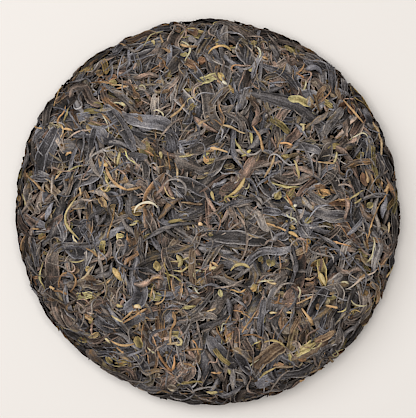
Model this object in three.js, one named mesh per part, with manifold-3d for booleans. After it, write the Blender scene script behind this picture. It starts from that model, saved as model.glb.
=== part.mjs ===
// A pressed cake of pu erh tea, lying on its flat side with its domed face up.
// Long tea leaves are steamed, wrapped in a cloth and pressed under a stone into a round cake. Its face is
// a shallow dome with rounded shoulders, and its underside is flat, with the round hollow that the cloth's
// knot leaves in the middle. The packed core carries the leaves that show: broad leaves pressed flat,
// leaves rolled along their length, and woody stems. All of it holds together, so it is one solid.
// Millimetres, +Z up. The origin is on the table, under the middle of the cake.
import * as THREE from "three";
import { mergeVertices } from "three/addons/utils/BufferGeometryUtils.js";
import Module from "manifold-3d";

// Driving dimensions.
const CAKE_DIAMETER = 200;
const CAKE_THICKNESS = 25;
const WIDEST_LINE_HEIGHT = 10.5;
const LEAF_RELIEF = 2; // how far a leaf stands proud of the packed core
const HOLLOW_RADIUS = 28;
const HOLLOW_DEPTH = 13;
const FOOT_OUTER_RADIUS = 76;

// The core is smaller than the cake by the leaves that lie on it.
const CORE_RADIUS = CAKE_DIAMETER / 2 - LEAF_RELIEF * 0.75;
const CORE_FOOT = 0.7; // the core's flat underside, above the table that the trimmed leaves rest on
const CORE_TOP = CAKE_THICKNESS - LEAF_RELIEF;
const DOME_SQUARENESS = 3.4; // 2 is an ellipse, and more gives a flatter face and a rounder shoulder
const UNDER_SQUARENESS = 2.4;

const CORE_SECTORS = 46;
const FACE_RINGS = 7;
const SHOULDER_RINGS = 4;
const FOOT_RINGS = 2;
const HOLLOW_RINGS = 3;

// Leaf sizes, shortest and longest.
const BROAD_LEAF = { length: [30, 50], width: [9, 15], segments: 3 };
const ROLLED_LEAF = { length: [28, 46], width: [3.6, 5.6], segments: 3, sides: 6 };
const STEM = { length: [14, 26], width: [1.9, 2.6], segments: 2, sides: 6 };
const LEAF_ROOT = 1.1; // how deep a leaf is sunk in the core
const CORE_ROUGHNESS = 0.4; // how far the packed leaves of the core rise and fall
const REST_REACH = 62; // from the top of the hollow, along the skin, to a leaf that the cake rests on
const REST_ANGLES = [-90, 30, 150].map(THREE.MathUtils.degToRad);
const SEED = 357;

const GOLDEN_ANGLE = Math.PI * (3 - Math.sqrt(5));

const wasm = await Module();
wasm.setup();
THREE.MathUtils.seededRandom(SEED);

function between([low, high]) {
  return THREE.MathUtils.lerp(low, high, THREE.MathUtils.seededRandom());
}

// Half of the cake's section, as points of a distance from the axis and a height.
function facePoints() {
  const rise = CORE_TOP - WIDEST_LINE_HEIGHT;
  return Array.from({ length: FACE_RINGS + 1 }, (_, ring) => {
    const turn = (ring / FACE_RINGS) * (Math.PI / 2);
    return new THREE.Vector2(
      CORE_RADIUS * Math.sin(turn) ** (2 / DOME_SQUARENESS),
      WIDEST_LINE_HEIGHT + rise * Math.cos(turn),
    );
  });
}

function shoulderPoints() {
  const drop = WIDEST_LINE_HEIGHT - CORE_FOOT;
  return Array.from({ length: SHOULDER_RINGS }, (_, ring) => {
    const turn = ((ring + 1) / SHOULDER_RINGS) * (Math.PI / 2);
    return new THREE.Vector2(
      FOOT_OUTER_RADIUS +
        (CORE_RADIUS - FOOT_OUTER_RADIUS) * Math.cos(turn) ** (2 / UNDER_SQUARENESS),
      WIDEST_LINE_HEIGHT - drop * Math.sin(turn),
    );
  });
}

function footPoints() {
  return Array.from({ length: FOOT_RINGS }, (_, ring) => {
    const share = (ring + 1) / FOOT_RINGS;
    return new THREE.Vector2(
      THREE.MathUtils.lerp(FOOT_OUTER_RADIUS, HOLLOW_RADIUS, share),
      CORE_FOOT,
    );
  });
}

function hollowPoints() {
  return Array.from({ length: HOLLOW_RINGS }, (_, ring) => {
    const turn = ((ring + 1) / HOLLOW_RINGS) * (Math.PI / 2);
    return new THREE.Vector2(
      HOLLOW_RADIUS * Math.cos(turn),
      CORE_FOOT + HOLLOW_DEPTH * Math.sin(turn),
    );
  });
}

const section = [...facePoints(), ...shoulderPoints(), ...footPoints(), ...hollowPoints()];

// The same section measured along its own line, from the middle of the face to the top of the hollow.
const sectionLine = new THREE.CurvePath();
section.slice(1).forEach((point, i) => sectionLine.add(new THREE.LineCurve(section[i], point)));
const SECTION_LENGTH = sectionLine.getLength();

// A hand-pressed cake is a little out of round, and its face has shallow swells.
function uneven(point) {
  const angle = Math.atan2(point.y, point.x);
  const outline = 1 + 0.005 * Math.sin(2 * angle + 3.5) + 0.003 * Math.sin(3 * angle + 0.8) +
    0.0015 * Math.sin(7 * angle);
  const swell = 0.45 * Math.sin(point.x / 17 + 1.1) * Math.sin(point.y / 21 - 0.4);
  const share = THREE.MathUtils.smoothstep(point.z, WIDEST_LINE_HEIGHT / 2, CORE_TOP);
  return point.set(point.x * outline, point.y * outline, point.z + share * swell);
}

// The place on the cake's skin at (across, along) millimetres from the middle of the face, or from the
// middle of the underside, lifted off the skin by a height.
function onSkin(fromFace, across, along, height) {
  const reach = Math.min(Math.hypot(across, along), SECTION_LENGTH * 0.98);
  const angle = Math.atan2(along, across);
  const share = (fromFace ? reach : SECTION_LENGTH - reach) / SECTION_LENGTH;
  const place = sectionLine.getPointAt(share);
  const line = sectionLine.getTangentAt(share);
  const out = place.x - height * line.y;
  const up = place.y + height * line.x;
  return uneven(new THREE.Vector3(out * Math.cos(angle), out * Math.sin(angle), up));
}

// A manifold-3d solid of a closed three.js geometry.
function solidOf(geometry) {
  const bare = geometry.clone();
  bare.deleteAttribute("normal");
  bare.deleteAttribute("uv");
  const merged = mergeVertices(bare, 1e-4);
  return new wasm.Manifold(
    new wasm.Mesh({
      numProp: 3,
      vertProperties: merged.attributes.position.array,
      triVerts: new Uint32Array(merged.index.array),
    }),
  );
}

// The packed core: the section turned round the axis, then roughened by waves too short for the leaves.
function coreSolid() {
  const profile = section.map((point) => point.clone()).reverse();
  const lathe = new THREE.LatheGeometry(profile, CORE_SECTORS);
  lathe.rotateX(Math.PI / 2);
  const places = lathe.attributes.position;
  const point = new THREE.Vector3();
  for (let i = 0; i < places.count; i++) {
    uneven(point.fromBufferAttribute(places, i));
    const rough = CORE_ROUGHNESS * Math.sin(point.x * 0.9) * Math.sin(point.y * 0.8);
    const onFoot = point.z < CORE_FOOT * 2 ? 0 : 1;
    const out = 1 + (rough * onFoot) / CORE_RADIUS;
    places.setXYZ(i, point.x * out, point.y * out, point.z + rough * onFoot);
  }
  return solidOf(lathe);
}

// Lays a straight blank on the skin: x runs along the leaf, y across it, and z is the height over the skin.
function laid(blank, { fromFace, across, along, heading, bend }) {
  const places = blank.attributes.position;
  for (let i = 0; i < places.count; i++) {
    const x = places.getX(i);
    const y = fromFace ? places.getY(i) : -places.getY(i);
    const turn = heading + bend * x;
    const midTurn = heading + (bend * x) / 2;
    const spot = onSkin(
      fromFace,
      across + x * Math.cos(midTurn) - y * Math.sin(turn),
      along + x * Math.sin(midTurn) + y * Math.cos(turn),
      places.getZ(i),
    );
    places.setXYZ(i, spot.x, spot.y, spot.z);
  }
  return solidOf(blank);
}

// A broad leaf: a thin wavy sheet, pointed at its ends, its two faces split into triangles alike.
function broadLeaf(lift = between([0.45, 1]) * LEAF_RELIEF) {
  const length = between(BROAD_LEAF.length);
  const width = between(BROAD_LEAF.width);
  const wave = between([0.1, 0.3]);
  const phase = between([0, 2 * Math.PI]);
  const face = new THREE.PlaneGeometry(length, width, BROAD_LEAF.segments, 2);
  const spots = face.attributes.position;
  const count = spots.count;
  const all = new Float32Array(count * 6);
  for (let i = 0; i < count; i++) {
    const x = spots.getX(i);
    const share = Math.abs((2 * x) / length);
    const y = spots.getY(i) * (1 - 0.65 * share ** 2.2);
    const crease = 0.35 * (1 - Math.abs((2 * spots.getY(i)) / width));
    const z = lift + wave * Math.sin((4 * x) / width + phase) - crease;
    all.set([x, y, z], i * 3);
    all.set([x, y, -LEAF_ROOT], (count + i) * 3);
  }
  const upper = Array.from(face.index.array);
  const lower = [];
  for (let i = 0; i < upper.length; i += 3)
    lower.push(upper[i] + count, upper[i + 2] + count, upper[i + 1] + count);
  const columns = BROAD_LEAF.segments;
  const row = columns + 1;
  const rim = [
    ...Array.from({ length: columns }, (_, i) => i),
    ...[0, 1].map((i) => i * row + columns),
    ...Array.from({ length: columns }, (_, i) => 2 * row + columns - i),
    ...[2, 1].map((i) => i * row),
  ];
  const walls = rim.flatMap((a, i) => {
    const b = rim[(i + 1) % rim.length];
    return [a, b, b + count, a, b + count, a + count];
  });
  const leaf = new THREE.BufferGeometry();
  leaf.setAttribute("position", new THREE.BufferAttribute(all, 3));
  leaf.setIndex([...upper, ...lower, ...walls]);
  return leaf;
}

// A rolled leaf or a stem: a low, tapering bar along x, its lower half sunk in the core.
function bar({ length: lengths, width: widths, segments, sides }, taper, relief) {
  const length = between(lengths);
  const width = between(widths);
  const height = between([0.75, 1.15]) * relief;
  const sway = between([0.1, 0.25]) * width;
  const phase = between([0, 2 * Math.PI]);
  const blank = new THREE.CylinderGeometry(1, 1, length, sides, segments);
  blank.rotateZ(Math.PI / 2);
  const places = blank.attributes.position;
  for (let i = 0; i < places.count; i++) {
    const x = places.getX(i);
    const slim = 1 - taper * Math.abs((2 * x) / length) ** 2;
    const y = (-places.getZ(i) * width * slim) / 2 + sway * Math.sin(x / width + phase);
    const z = places.getY(i) > 0 ? places.getY(i) * height * slim : places.getY(i) * LEAF_ROOT;
    places.setXYZ(i, x, y, z);
  }
  return blank;
}

// The places of a number of leaves, spread evenly over a ring of the skin by a sunflower's rule.
function spread(count, inner, outer) {
  return Array.from({ length: count }, (_, i) => {
    const reach = Math.sqrt(
      THREE.MathUtils.lerp(inner ** 2, outer ** 2, (i + between([0.2, 0.8])) / count),
    );
    return { reach, angle: i * GOLDEN_ANGLE + between([-0.1, 0.1]) };
  });
}

// Lays leaves over a ring of the face or the underside, the kinds taking turns. Near the edge they follow it.
function leavesOn({ count, inner, outer, fromFace, kinds, edgewise }) {
  return spread(count, inner, outer).map(({ reach, angle }, i) => {
    const free = between([-Math.PI / 2, Math.PI / 2]);
    return laid(kinds[i % kinds.length](), {
      fromFace,
      across: reach * Math.cos(angle),
      along: reach * Math.sin(angle),
      heading: angle + Math.PI / 2 + free * (1 - edgewise),
      bend: between([-0.012, 0.012]) + (edgewise / reach) * 0.9,
    });
  });
}

// The three broad leaves that the cake rests on, spread round its underside.
function restLeaves() {
  return REST_ANGLES.map((angle) =>
    laid(broadLeaf(LEAF_RELIEF), {
      fromFace: false,
      across: REST_REACH * Math.cos(angle),
      along: REST_REACH * Math.sin(angle),
      heading: angle + Math.PI / 2,
      bend: 1 / REST_REACH,
    }),
  );
}

const rolledLeaf = () => bar(ROLLED_LEAF, 0.6, LEAF_RELIEF);
const stem = () => bar(STEM, 0.15, LEAF_RELIEF * 0.9);
const mixed = [broadLeaf, rolledLeaf, broadLeaf, stem, broadLeaf, rolledLeaf];
const flatMixed = [broadLeaf, broadLeaf, rolledLeaf];

const leaves = [
  leavesOn({ count: 64, inner: 0, outer: 84, fromFace: true, kinds: mixed, edgewise: 0 }),
  leavesOn({ count: 20, inner: 94, outer: 114, fromFace: true, kinds: flatMixed, edgewise: 0.8 }),
  leavesOn({ count: 13, inner: 48, outer: 84, fromFace: false, kinds: flatMixed, edgewise: 0.2 }),
  restLeaves(),
].flat();

// The table side is trimmed flat, as the pressed leaves lie on it.
function tableBlock() {
  const depth = 10;
  const block = new THREE.BoxGeometry(2 * CAKE_DIAMETER, 2 * CAKE_DIAMETER, depth);
  block.translate(0, 0, -depth / 2);
  return solidOf(block);
}

function geometryOf(solid) {
  const { vertProperties, triVerts } = solid.getMesh();
  const geometry = new THREE.BufferGeometry();
  geometry.setAttribute("position", new THREE.BufferAttribute(vertProperties, 3));
  geometry.setIndex(new THREE.BufferAttribute(triVerts, 1));
  geometry.computeVertexNormals();
  return geometry;
}

// The origin goes under the middle of the outline.
function centred(solid) {
  const { min, max } = solid.boundingBox();
  return solid.translate([-(min[0] + max[0]) / 2, -(min[1] + max[1]) / 2, -min[2]]);
}

const pressed = leaves.reduce((joined, leaf) => joined.add(leaf), coreSolid());
const cakeSolid = centred(pressed.subtract(tableBlock()));

const darkLeaf = new THREE.MeshStandardMaterial({
  color: new THREE.Color(0.055, 0.05, 0.047),
  roughness: 0.62,
  metalness: 0,
});
const teaCake = new THREE.Mesh(geometryOf(cakeSolid), darkLeaf);
teaCake.name = "tea_cake";

const cake = new THREE.Group();
cake.add(teaCake);

export default cake;
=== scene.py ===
# %% [markdown]
# # A pressed cake of pu erh tea
# Steamed tea leaves are wrapped in a cloth, and the cloth's knot is tucked under them. A stone presses the
# bundle into a round cake with a shallow domed face, round shoulders, and a flat underside with a dent in
# its middle where the knot was. This lesson dresses the plain model of that cake with leaves, one kind at a
# time: some straight leaves of each kind are shaped as blanks, and copies of them are bent over the cake.

# %% Load the model that the leaves are laid on
import math

import bmesh
import bpy
import numpy as np
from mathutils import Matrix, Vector, noise


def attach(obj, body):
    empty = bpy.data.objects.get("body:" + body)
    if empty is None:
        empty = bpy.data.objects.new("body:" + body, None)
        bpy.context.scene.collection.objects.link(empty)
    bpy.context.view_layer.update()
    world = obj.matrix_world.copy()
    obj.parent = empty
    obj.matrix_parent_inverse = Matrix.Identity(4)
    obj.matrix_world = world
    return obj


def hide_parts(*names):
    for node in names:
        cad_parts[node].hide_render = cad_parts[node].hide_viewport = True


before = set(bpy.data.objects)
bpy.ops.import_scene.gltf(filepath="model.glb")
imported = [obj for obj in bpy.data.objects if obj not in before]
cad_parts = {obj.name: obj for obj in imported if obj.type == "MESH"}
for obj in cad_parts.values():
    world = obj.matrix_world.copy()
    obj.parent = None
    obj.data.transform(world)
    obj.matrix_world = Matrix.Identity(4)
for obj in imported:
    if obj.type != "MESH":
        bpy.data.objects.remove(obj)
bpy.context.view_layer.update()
MM = 0.001
draw = np.random.default_rng(357)

# %% [markdown]
# ## The camera
# The photograph looks straight down on the cake. A camera in Blender looks along its own minus Z when it
# isn't turned, so it only has to be put above the cake. The lens follows from how many pixels the cake takes
# up.

# %% Put the camera above the cake
PHOTO_WIDTH, PHOTO_HEIGHT = 416, 418
CAKE_PIXELS = 383  # across the cake in the photograph
CAKE_CENTRE = (208.5, 211.9)  # its middle, in pixels from the photograph's upper left corner
CAKE_DIAMETER = 200.0
WIDEST_HEIGHT = 10.5  # of the line round the cake where it is widest
CAMERA_HEIGHT = 1100.0
SENSOR_HEIGHT = 24.0
PIXEL = CAKE_DIAMETER / CAKE_PIXELS  # millimetres a pixel, at the height of the cake's widest line
FARTHEST = 20.0  # metres that the camera sees

camera = bpy.data.objects.new("camera", bpy.data.cameras.new("camera"))
camera.data.sensor_fit = "VERTICAL"
camera.data.sensor_height = SENSOR_HEIGHT
camera.data.lens = SENSOR_HEIGHT * (CAMERA_HEIGHT - WIDEST_HEIGHT) / (PHOTO_HEIGHT * PIXEL)
camera.data.clip_end = FARTHEST
camera.location = (
    (PHOTO_WIDTH / 2 - CAKE_CENTRE[0]) * PIXEL * MM,
    (CAKE_CENTRE[1] - PHOTO_HEIGHT / 2) * PIXEL * MM,
    CAMERA_HEIGHT * MM,
)
bpy.context.scene.collection.objects.link(camera)
bpy.context.scene.camera = camera
print("lens:", round(camera.data.lens, 1), "mm, a pixel is", round(PIXEL, 3), "mm")

# %% [markdown]
# ## The skin of the cake
# Every leaf lies on one smooth surface, the skin, which is half a section turned round the middle. The
# section runs from the middle of the face over the shoulder and under to the top of the dent. It is measured
# along its own line, so that a leaf keeps its length where it bends over the shoulder.

# %% Half of the section, as distance from the middle and height
CAKE_THICKNESS = 25.0
PRESSED_LAYER = 1.1  # how far the topmost leaves stand out of the skin
USUAL_DEPTH = 0.8  # how far under the skin most of the leaves that show come to lie
SKIN_RADIUS = CAKE_DIAMETER / 2 + USUAL_DEPTH
SKIN_TOP = CAKE_THICKNESS - PRESSED_LAYER
SKIN_FOOT = 0.35
FOOT_RADIUS = 76.0
HOLLOW_RADIUS = 28.0
HOLLOW_DEPTH = 13.0
DOME_SQUARENESS = 3.4
UNDER_SQUARENESS = 2.4
STEP = 0.5
QUARTER_POINTS = 400

quarter = np.linspace(0, math.pi / 2, QUARTER_POINTS)
face_line = np.stack([
    SKIN_RADIUS * np.sin(quarter) ** (2 / DOME_SQUARENESS),
    WIDEST_HEIGHT + (SKIN_TOP - WIDEST_HEIGHT) * np.cos(quarter),
])
shoulder_line = np.stack([
    FOOT_RADIUS + (SKIN_RADIUS - FOOT_RADIUS) * np.cos(quarter) ** (2 / UNDER_SQUARENESS),
    WIDEST_HEIGHT - (WIDEST_HEIGHT - SKIN_FOOT) * np.sin(quarter),
])
hollow_line = np.stack([
    HOLLOW_RADIUS * np.cos(quarter),
    SKIN_FOOT + HOLLOW_DEPTH * np.sin(quarter),
])
rough_line = np.concatenate([face_line, shoulder_line[:, 1:], hollow_line], axis=1)


def along(line):
    """The distance along a line of points, from its first one."""
    steps = np.hypot(*np.diff(line, axis=1))
    return np.concatenate([[0], np.cumsum(steps)])


def even_steps(line):
    """The same line with a point every STEP millimetres."""
    reach = along(line)
    marks = np.linspace(0, reach[-1], int(reach[-1] / STEP) + 1)
    return np.stack([np.interp(marks, reach, row) for row in line])


# The line is mirrored past both its ends, so that rounding its corners leaves the ends on the middle.
ROUNDING = 9  # steps on either side of a corner
middle_line = even_steps(rough_line)
kernel = np.hanning(2 * ROUNDING + 1)
kernel /= kernel.sum()
padded = np.stack([
    np.pad(middle_line[0], ROUNDING, "reflect", reflect_type="odd"),
    np.pad(middle_line[1], ROUNDING, "reflect"),
])
section = even_steps(np.stack([np.convolve(row, kernel, "valid") for row in padded]))
section_reach = along(section)
SECTION_LENGTH = section_reach[-1]
tangent = np.gradient(section, section_reach, axis=1)
tangent /= np.hypot(*tangent)
section_normal = np.stack([-tangent[1], tangent[0]])
WIDEST_REACH = section_reach[np.argmax(section[0])]
print("section:", round(SECTION_LENGTH, 1), "mm long, widest after", round(WIDEST_REACH, 1), "mm")

# %% [markdown]
# A map of the face, and one of the underside, give every place on the skin by two numbers, as a map of the
# world seen from above the pole does. A hand-pressed cake is also a little out of round and has shallow
# swells.

# %% From a map to the skin
FACE, UNDER = "face", "under"
LOBES = ((2, 0.0072, 3.2), (3, 0.0042, -math.pi / 2), (6, 0.002, -math.pi / 2))  # how many, share, start
SWELL_HEIGHT = 0.45
SWELL_SPANS = (17.0, 21.0)  # how wide the swells are, along X and Y
SWELL_STARTS = (1.1, -0.4)


def smooth_step(value, low, high):
    share = np.clip((value - low) / (high - low), 0, 1)
    return share * share * (3 - 2 * share)


def uneven(place):
    """A slightly lopsided outline, and shallow swells in the face."""
    x, y, z = place.T
    angle = np.arctan2(y, x)
    outline = 1 + sum(share * np.sin(count * angle + start) for count, share, start in LOBES)
    swell = SWELL_HEIGHT * smooth_step(z, WIDEST_HEIGHT / 2, SKIN_TOP)
    for line, span, start in zip((x, y), SWELL_SPANS, SWELL_STARTS):
        swell = swell * np.sin(line / span + start)
    return np.stack([x * outline, y * outline, z + swell], axis=1)


def on_skin(spots, side):
    """Places on the skin, and the way out of it, for spots on the map of one side."""
    reach = np.minimum(np.hypot(spots[:, 0], spots[:, 1]), SECTION_LENGTH)
    angle = np.arctan2(spots[:, 1], spots[:, 0])
    mark = reach if side == FACE else SECTION_LENGTH - reach
    radius, height = (np.interp(mark, section_reach, row) for row in section)
    outward, upward = (np.interp(mark, section_reach, row) for row in section_normal)
    turn = np.stack([np.cos(angle), np.sin(angle)], axis=1)
    place = np.column_stack([turn * radius[:, None], height])
    normal = np.column_stack([turn * outward[:, None], upward])
    return uneven(place), normal


def map_of(x, y):
    """The spot on the face's map that lies under a place seen from above."""
    widest = int(np.argmax(section[0]))
    radius = math.hypot(x, y)
    reach = float(np.interp(radius, section[0][:widest], section_reach[:widest]))
    return np.array([x, y]) * (reach / max(radius, 1e-6))


edge_ways = np.linspace(-math.pi, math.pi, 720)
edge_spots = np.stack([np.cos(edge_ways), np.sin(edge_ways)], axis=1) * WIDEST_REACH
edge_radii = np.hypot(*on_skin(edge_spots, FACE)[0][:, :2].T)
print("widest line, in mm from the middle:", edge_radii.min().round(1), "to", edge_radii.max().round(1))

# %% [markdown]
# ## How the leaves pile up
# The leaves lie over and under each other. Each side of the cake has a height map, a grid of how high the
# pile reaches over the skin so far. A new leaf looks up the heights under it, bends over them, and adds its
# own. Pressing then squeezes what stands out of the skin, the same for every leaf, so that no order is lost.

# %% The height maps
CELL = 0.5
MAP_REACH = 150.0
BED = -2.4  # where the pile starts, below the skin
CELLS = int(2 * MAP_REACH / CELL)
SQUEEZE = {FACE: PRESSED_LAYER, UNDER: 0.25}  # how far out of the skin the highest pile is pressed to stand
piles = {side: np.full((CELLS, CELLS), BED) for side in (FACE, UNDER)}
print("cells on each side of a map:", CELLS)


def cells_at(spots):
    """The rows and columns of the cells that spots lie in."""
    index = np.clip(((spots + MAP_REACH) / CELL).astype(int), 0, CELLS - 1)
    return index[..., 0], index[..., 1]


def pressed(height, side):
    """A height over the skin after pressing, which leaves what lies under the skin as it is."""
    most = SQUEEZE[side]
    return np.where(height < 0, height, most * (1 - np.exp(-np.maximum(height, 0) / most)))


# %% [markdown]
# ## A blank, and a leaf bent from it
# A blank is a straight leaf that fills a box of one by one by one: X runs along it, Y across it, and Z is
# the height over what it lies on. It is shaped in a bmesh and read out as arrays, because thousands of
# copies are quicker to bend as arrays than one at a time as objects.

# %% Read a blank out of a bmesh
CREST = (0.35, 0.9)  # between these shares of a blank's height its colour is painted paler and paler as lit; lower down it is painted darker as shaded


class Blank:
    """A straight leaf: its vertices and faces, how far each vertex is on a ridge or an edge, and the light
    and shade painted on its ridges and folds.
    """

    def __init__(self, bm, edged=False):
        bmesh.ops.recalc_face_normals(bm, faces=bm.faces[:])
        grain = bm.verts.layers.float.get("grain")
        painted_relief_shade = bm.verts.layers.float.get("painted_relief_shade")
        self.place = np.array([v.co[:] for v in bm.verts])
        self.grain = np.array([v[grain] for v in bm.verts])
        self.edge = np.abs(2 * self.grain) if edged else np.zeros(len(self.grain))
        self.painted_relief_shade = np.array([v[painted_relief_shade] for v in bm.verts])
        low, high = self.place.min(0), self.place.max(0)
        self.place[:, 0] = (self.place[:, 0] - low[0]) / (high[0] - low[0]) - 0.5
        self.place[:, 1] = (self.place[:, 1] - low[1]) / (high[1] - low[1]) - 0.5
        self.place[:, 2] = (self.place[:, 2] - low[2]) / (high[2] - low[2])
        # A blank's top is painted paler, as light falls on it, and its lower flanks darker, as shade.
        crest = np.clip((self.place[:, 2] - CREST[0]) / (CREST[1] - CREST[0]), 0, 1)
        self.painted_relief_shade = np.where(self.painted_relief_shade < 0, self.painted_relief_shade, 0.5 * self.painted_relief_shade + 0.5 * crest)
        self.corners = np.array([v.index for f in bm.faces for v in f.verts])
        self.sizes = np.array([len(f.verts) for f in bm.faces])
        bm.free()


def new_bmesh():
    """An empty bmesh whose vertices hold where they are across the grain, and how ridged they are, painted
    as shade.
    """
    bm = bmesh.new()
    bm.verts.layers.float.new("grain")
    bm.verts.layers.float.new("painted_relief_shade")
    return bm


# %% Bend a blank over the pile
def running_mean(values, window):
    """Each column's mean over a number of neighbours, which is how stiff a leaf is."""
    if window < 2:
        return values
    before, after = window // 2, window - 1 - window // 2
    longer = np.pad(values, ((before, after), (0, 0)), "edge")
    sums = np.cumsum(np.vstack([np.zeros(values.shape[1]), longer]), axis=0)
    return (sums[window:] - sums[:-window]) / window


def between_lanes(table, share_along, share_across):
    """Reads a table of heights between its rows and columns."""
    rows, columns = table.shape
    i = np.clip(share_along, 0, 1) * (rows - 1)
    j = np.clip(share_across, 0, 1) * (columns - 1)
    i0 = np.minimum(i.astype(int), max(rows - 2, 0))
    j0 = np.minimum(j.astype(int), max(columns - 2, 0))
    i1, j1 = np.minimum(i0 + 1, rows - 1), np.minimum(j0 + 1, columns - 1)
    fi, fj = i - i0, j - j0
    near = table[i0, j0] * (1 - fj) + table[i0, j1] * fj
    far = table[i1, j0] * (1 - fj) + table[i1, j1] * fj
    return near * (1 - fi) + far * fi


SPINE_STEP = 1.0
DEPOSIT_STEP = 0.42  # finer than a cell, so that a leaf leaves no cell out
FEWEST_STEPS = 8
LANE_REACH = 0.45  # the outer lanes' distance from a leaf's middle, as a share of its width
END_SHARPNESS = 3  # how late along a leaf its ends start to dive
TAPER = 2.4
SHEET_HEIGHT = 0.55  # the share of its thickness that a flat leaf adds to the pile


def course_of(middle, heading, length, bend, sway, waves, phase):
    """A leaf's course over the map: shares of its length, the spots there, and the ways to their left."""
    count = max(FEWEST_STEPS, int(length / SPINE_STEP) + 1)
    share = np.linspace(0, 1, count)
    turn = heading + bend * (share - 0.5) * length + sway * np.sin(2 * math.pi * waves * share + phase)
    step = np.stack([np.cos(turn), np.sin(turn)], axis=1) * (length / (count - 1))
    path = np.vstack([[0, 0], np.cumsum((step[1:] + step[:-1]) / 2, axis=0)])
    path += np.asarray(middle) - path.mean(0)
    return share, path, np.stack([-np.sin(turn), np.cos(turn)], axis=1)


def beside_course(course, along_it, aside):
    """The spots at shares of a course's length, so many millimetres to its left."""
    share, path, across = course
    spots = np.stack([np.interp(along_it, share, path[:, k]) for k in (0, 1)], axis=-1)
    left = np.stack([np.interp(along_it, share, across[:, k]) for k in (0, 1)], axis=-1)
    return spots + left * aside[..., None]


def rest_on(pile, course, length, width, lanes, stiffness, sink, dive):
    """The heights that a leaf rests at along its course, one column for each lane across it."""
    share, path, across = course
    lane = np.linspace(-LANE_REACH, LANE_REACH, lanes) * width if lanes > 1 else np.zeros(1)
    under = pile[cells_at(path[:, None, :] + lane[None, :, None] * across[:, None, :])]
    window = max(1, int(stiffness / (length / (len(share) - 1))))
    rest = running_mean(np.maximum(running_mean(under, window), under - sink), 3)
    return rest - dive * np.abs(2 * share - 1)[:, None] ** END_SHARPNESS


def add_to_pile(pile, course, rest, size, crown):
    """Raises the pile's cells under a leaf to the leaf's top, which is crowned or flat across."""
    length, width, thickness = size
    along_it, across_it = np.meshgrid(
        np.linspace(0, 1, max(4, int(length / DEPOSIT_STEP))),
        np.linspace(0, 1, max(2, int(width / DEPOSIT_STEP))),
        indexing="ij",
    )
    flank = np.abs(2 * across_it - 1)
    taper = np.sqrt(np.clip(1 - np.abs(2 * along_it - 1) ** TAPER, 0, 1))
    top = np.sqrt(np.clip(1 - flank ** 2, 0, 1)) if crown else np.full_like(flank, SHEET_HEIGHT)
    height = between_lanes(rest, along_it, across_it) + top * thickness * taper
    spots = beside_course(course, along_it, (across_it - 0.5) * width)
    keep = flank <= taper
    np.maximum.at(pile, cells_at(spots[keep]), height[keep])


def lay(blank, side, middle, heading, size, bend=0.0, sway=0.0, waves=1.0, phase=0.0,
        lanes=1, stiffness=6.0, dive=0.0, sink=0.4, tone=0.5, hue=0.5, warmth=0.5, crown=True):
    """Bends one copy of a blank over the pile on one side of the cake, and adds it to the pile."""
    length, width, thickness = size
    course = course_of(middle, heading, length, bend, sway, waves, phase)
    rest = rest_on(piles[side], course, length, width, lanes, stiffness, sink, dive)
    along_it, across_it, rise = blank.place.T
    height = between_lanes(rest, along_it + 0.5, across_it + 0.5) + rise * thickness
    hand = 1 if side == FACE else -1  # the underside's map is seen from within the cake
    spots = beside_course(course, along_it + 0.5, across_it * width * hand)
    place, normal = on_skin(spots, side)
    add_to_pile(piles[side], course, rest, size, crown)
    return {
        "blank": blank,
        "place": place + pressed(height, side)[:, None] * normal,
        "side": side,
        "spots": spots,
        "height": height,
        "tone": tone,
        "hue": hue,
        "warmth": warmth,
        "length": length,
        "width": width,
    }


# %% [markdown]
# Gaps between leaves are dark, because hardly any light reaches into them, and that shade is also painted
# into the leaves' colour. When all the leaves are laid, the height maps are blurred, and each vertex learns
# how far it stands above or below the leaves around it, which sets how much painted shade it gets.

# %% How far a leaf stands above its neighbours
NEIGHBOURS = 1.6  # millimetres around a place


def blurred(pile):
    """The mean height of the pile around each cell, taken along the columns and then along the rows."""
    reach = int(NEIGHBOURS / CELL)
    for _ in ("columns", "rows"):
        padded = np.pad(pile, ((reach + 1, reach), (0, 0)), "edge")
        sums = np.cumsum(padded, axis=0)
        pile = ((sums[2 * reach + 1:] - sums[:-2 * reach - 1]) / (2 * reach + 1)).T
    return pile


def stand_out(laid, around):
    """For each laid leaf, how far its vertices stand above the leaves around them."""
    return np.concatenate([
        leaf["height"] - around[leaf["side"]][cells_at(leaf["spots"])] for leaf in laid
    ])


# %% [markdown]
# All the leaves of a kind become one mesh. Each vertex keeps its leaf's tone, hue and warmth, and the grain,
# a UV map in millimetres, runs along each leaf from a random start, so that no two leaves have the same
# streaks.

# %% Join laid leaves into one mesh
GRAIN_STARTS = (0, 500)
CREASE_ANGLE = 28  # an edge with a sharper angle than this, in degrees, shows as a crease


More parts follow.
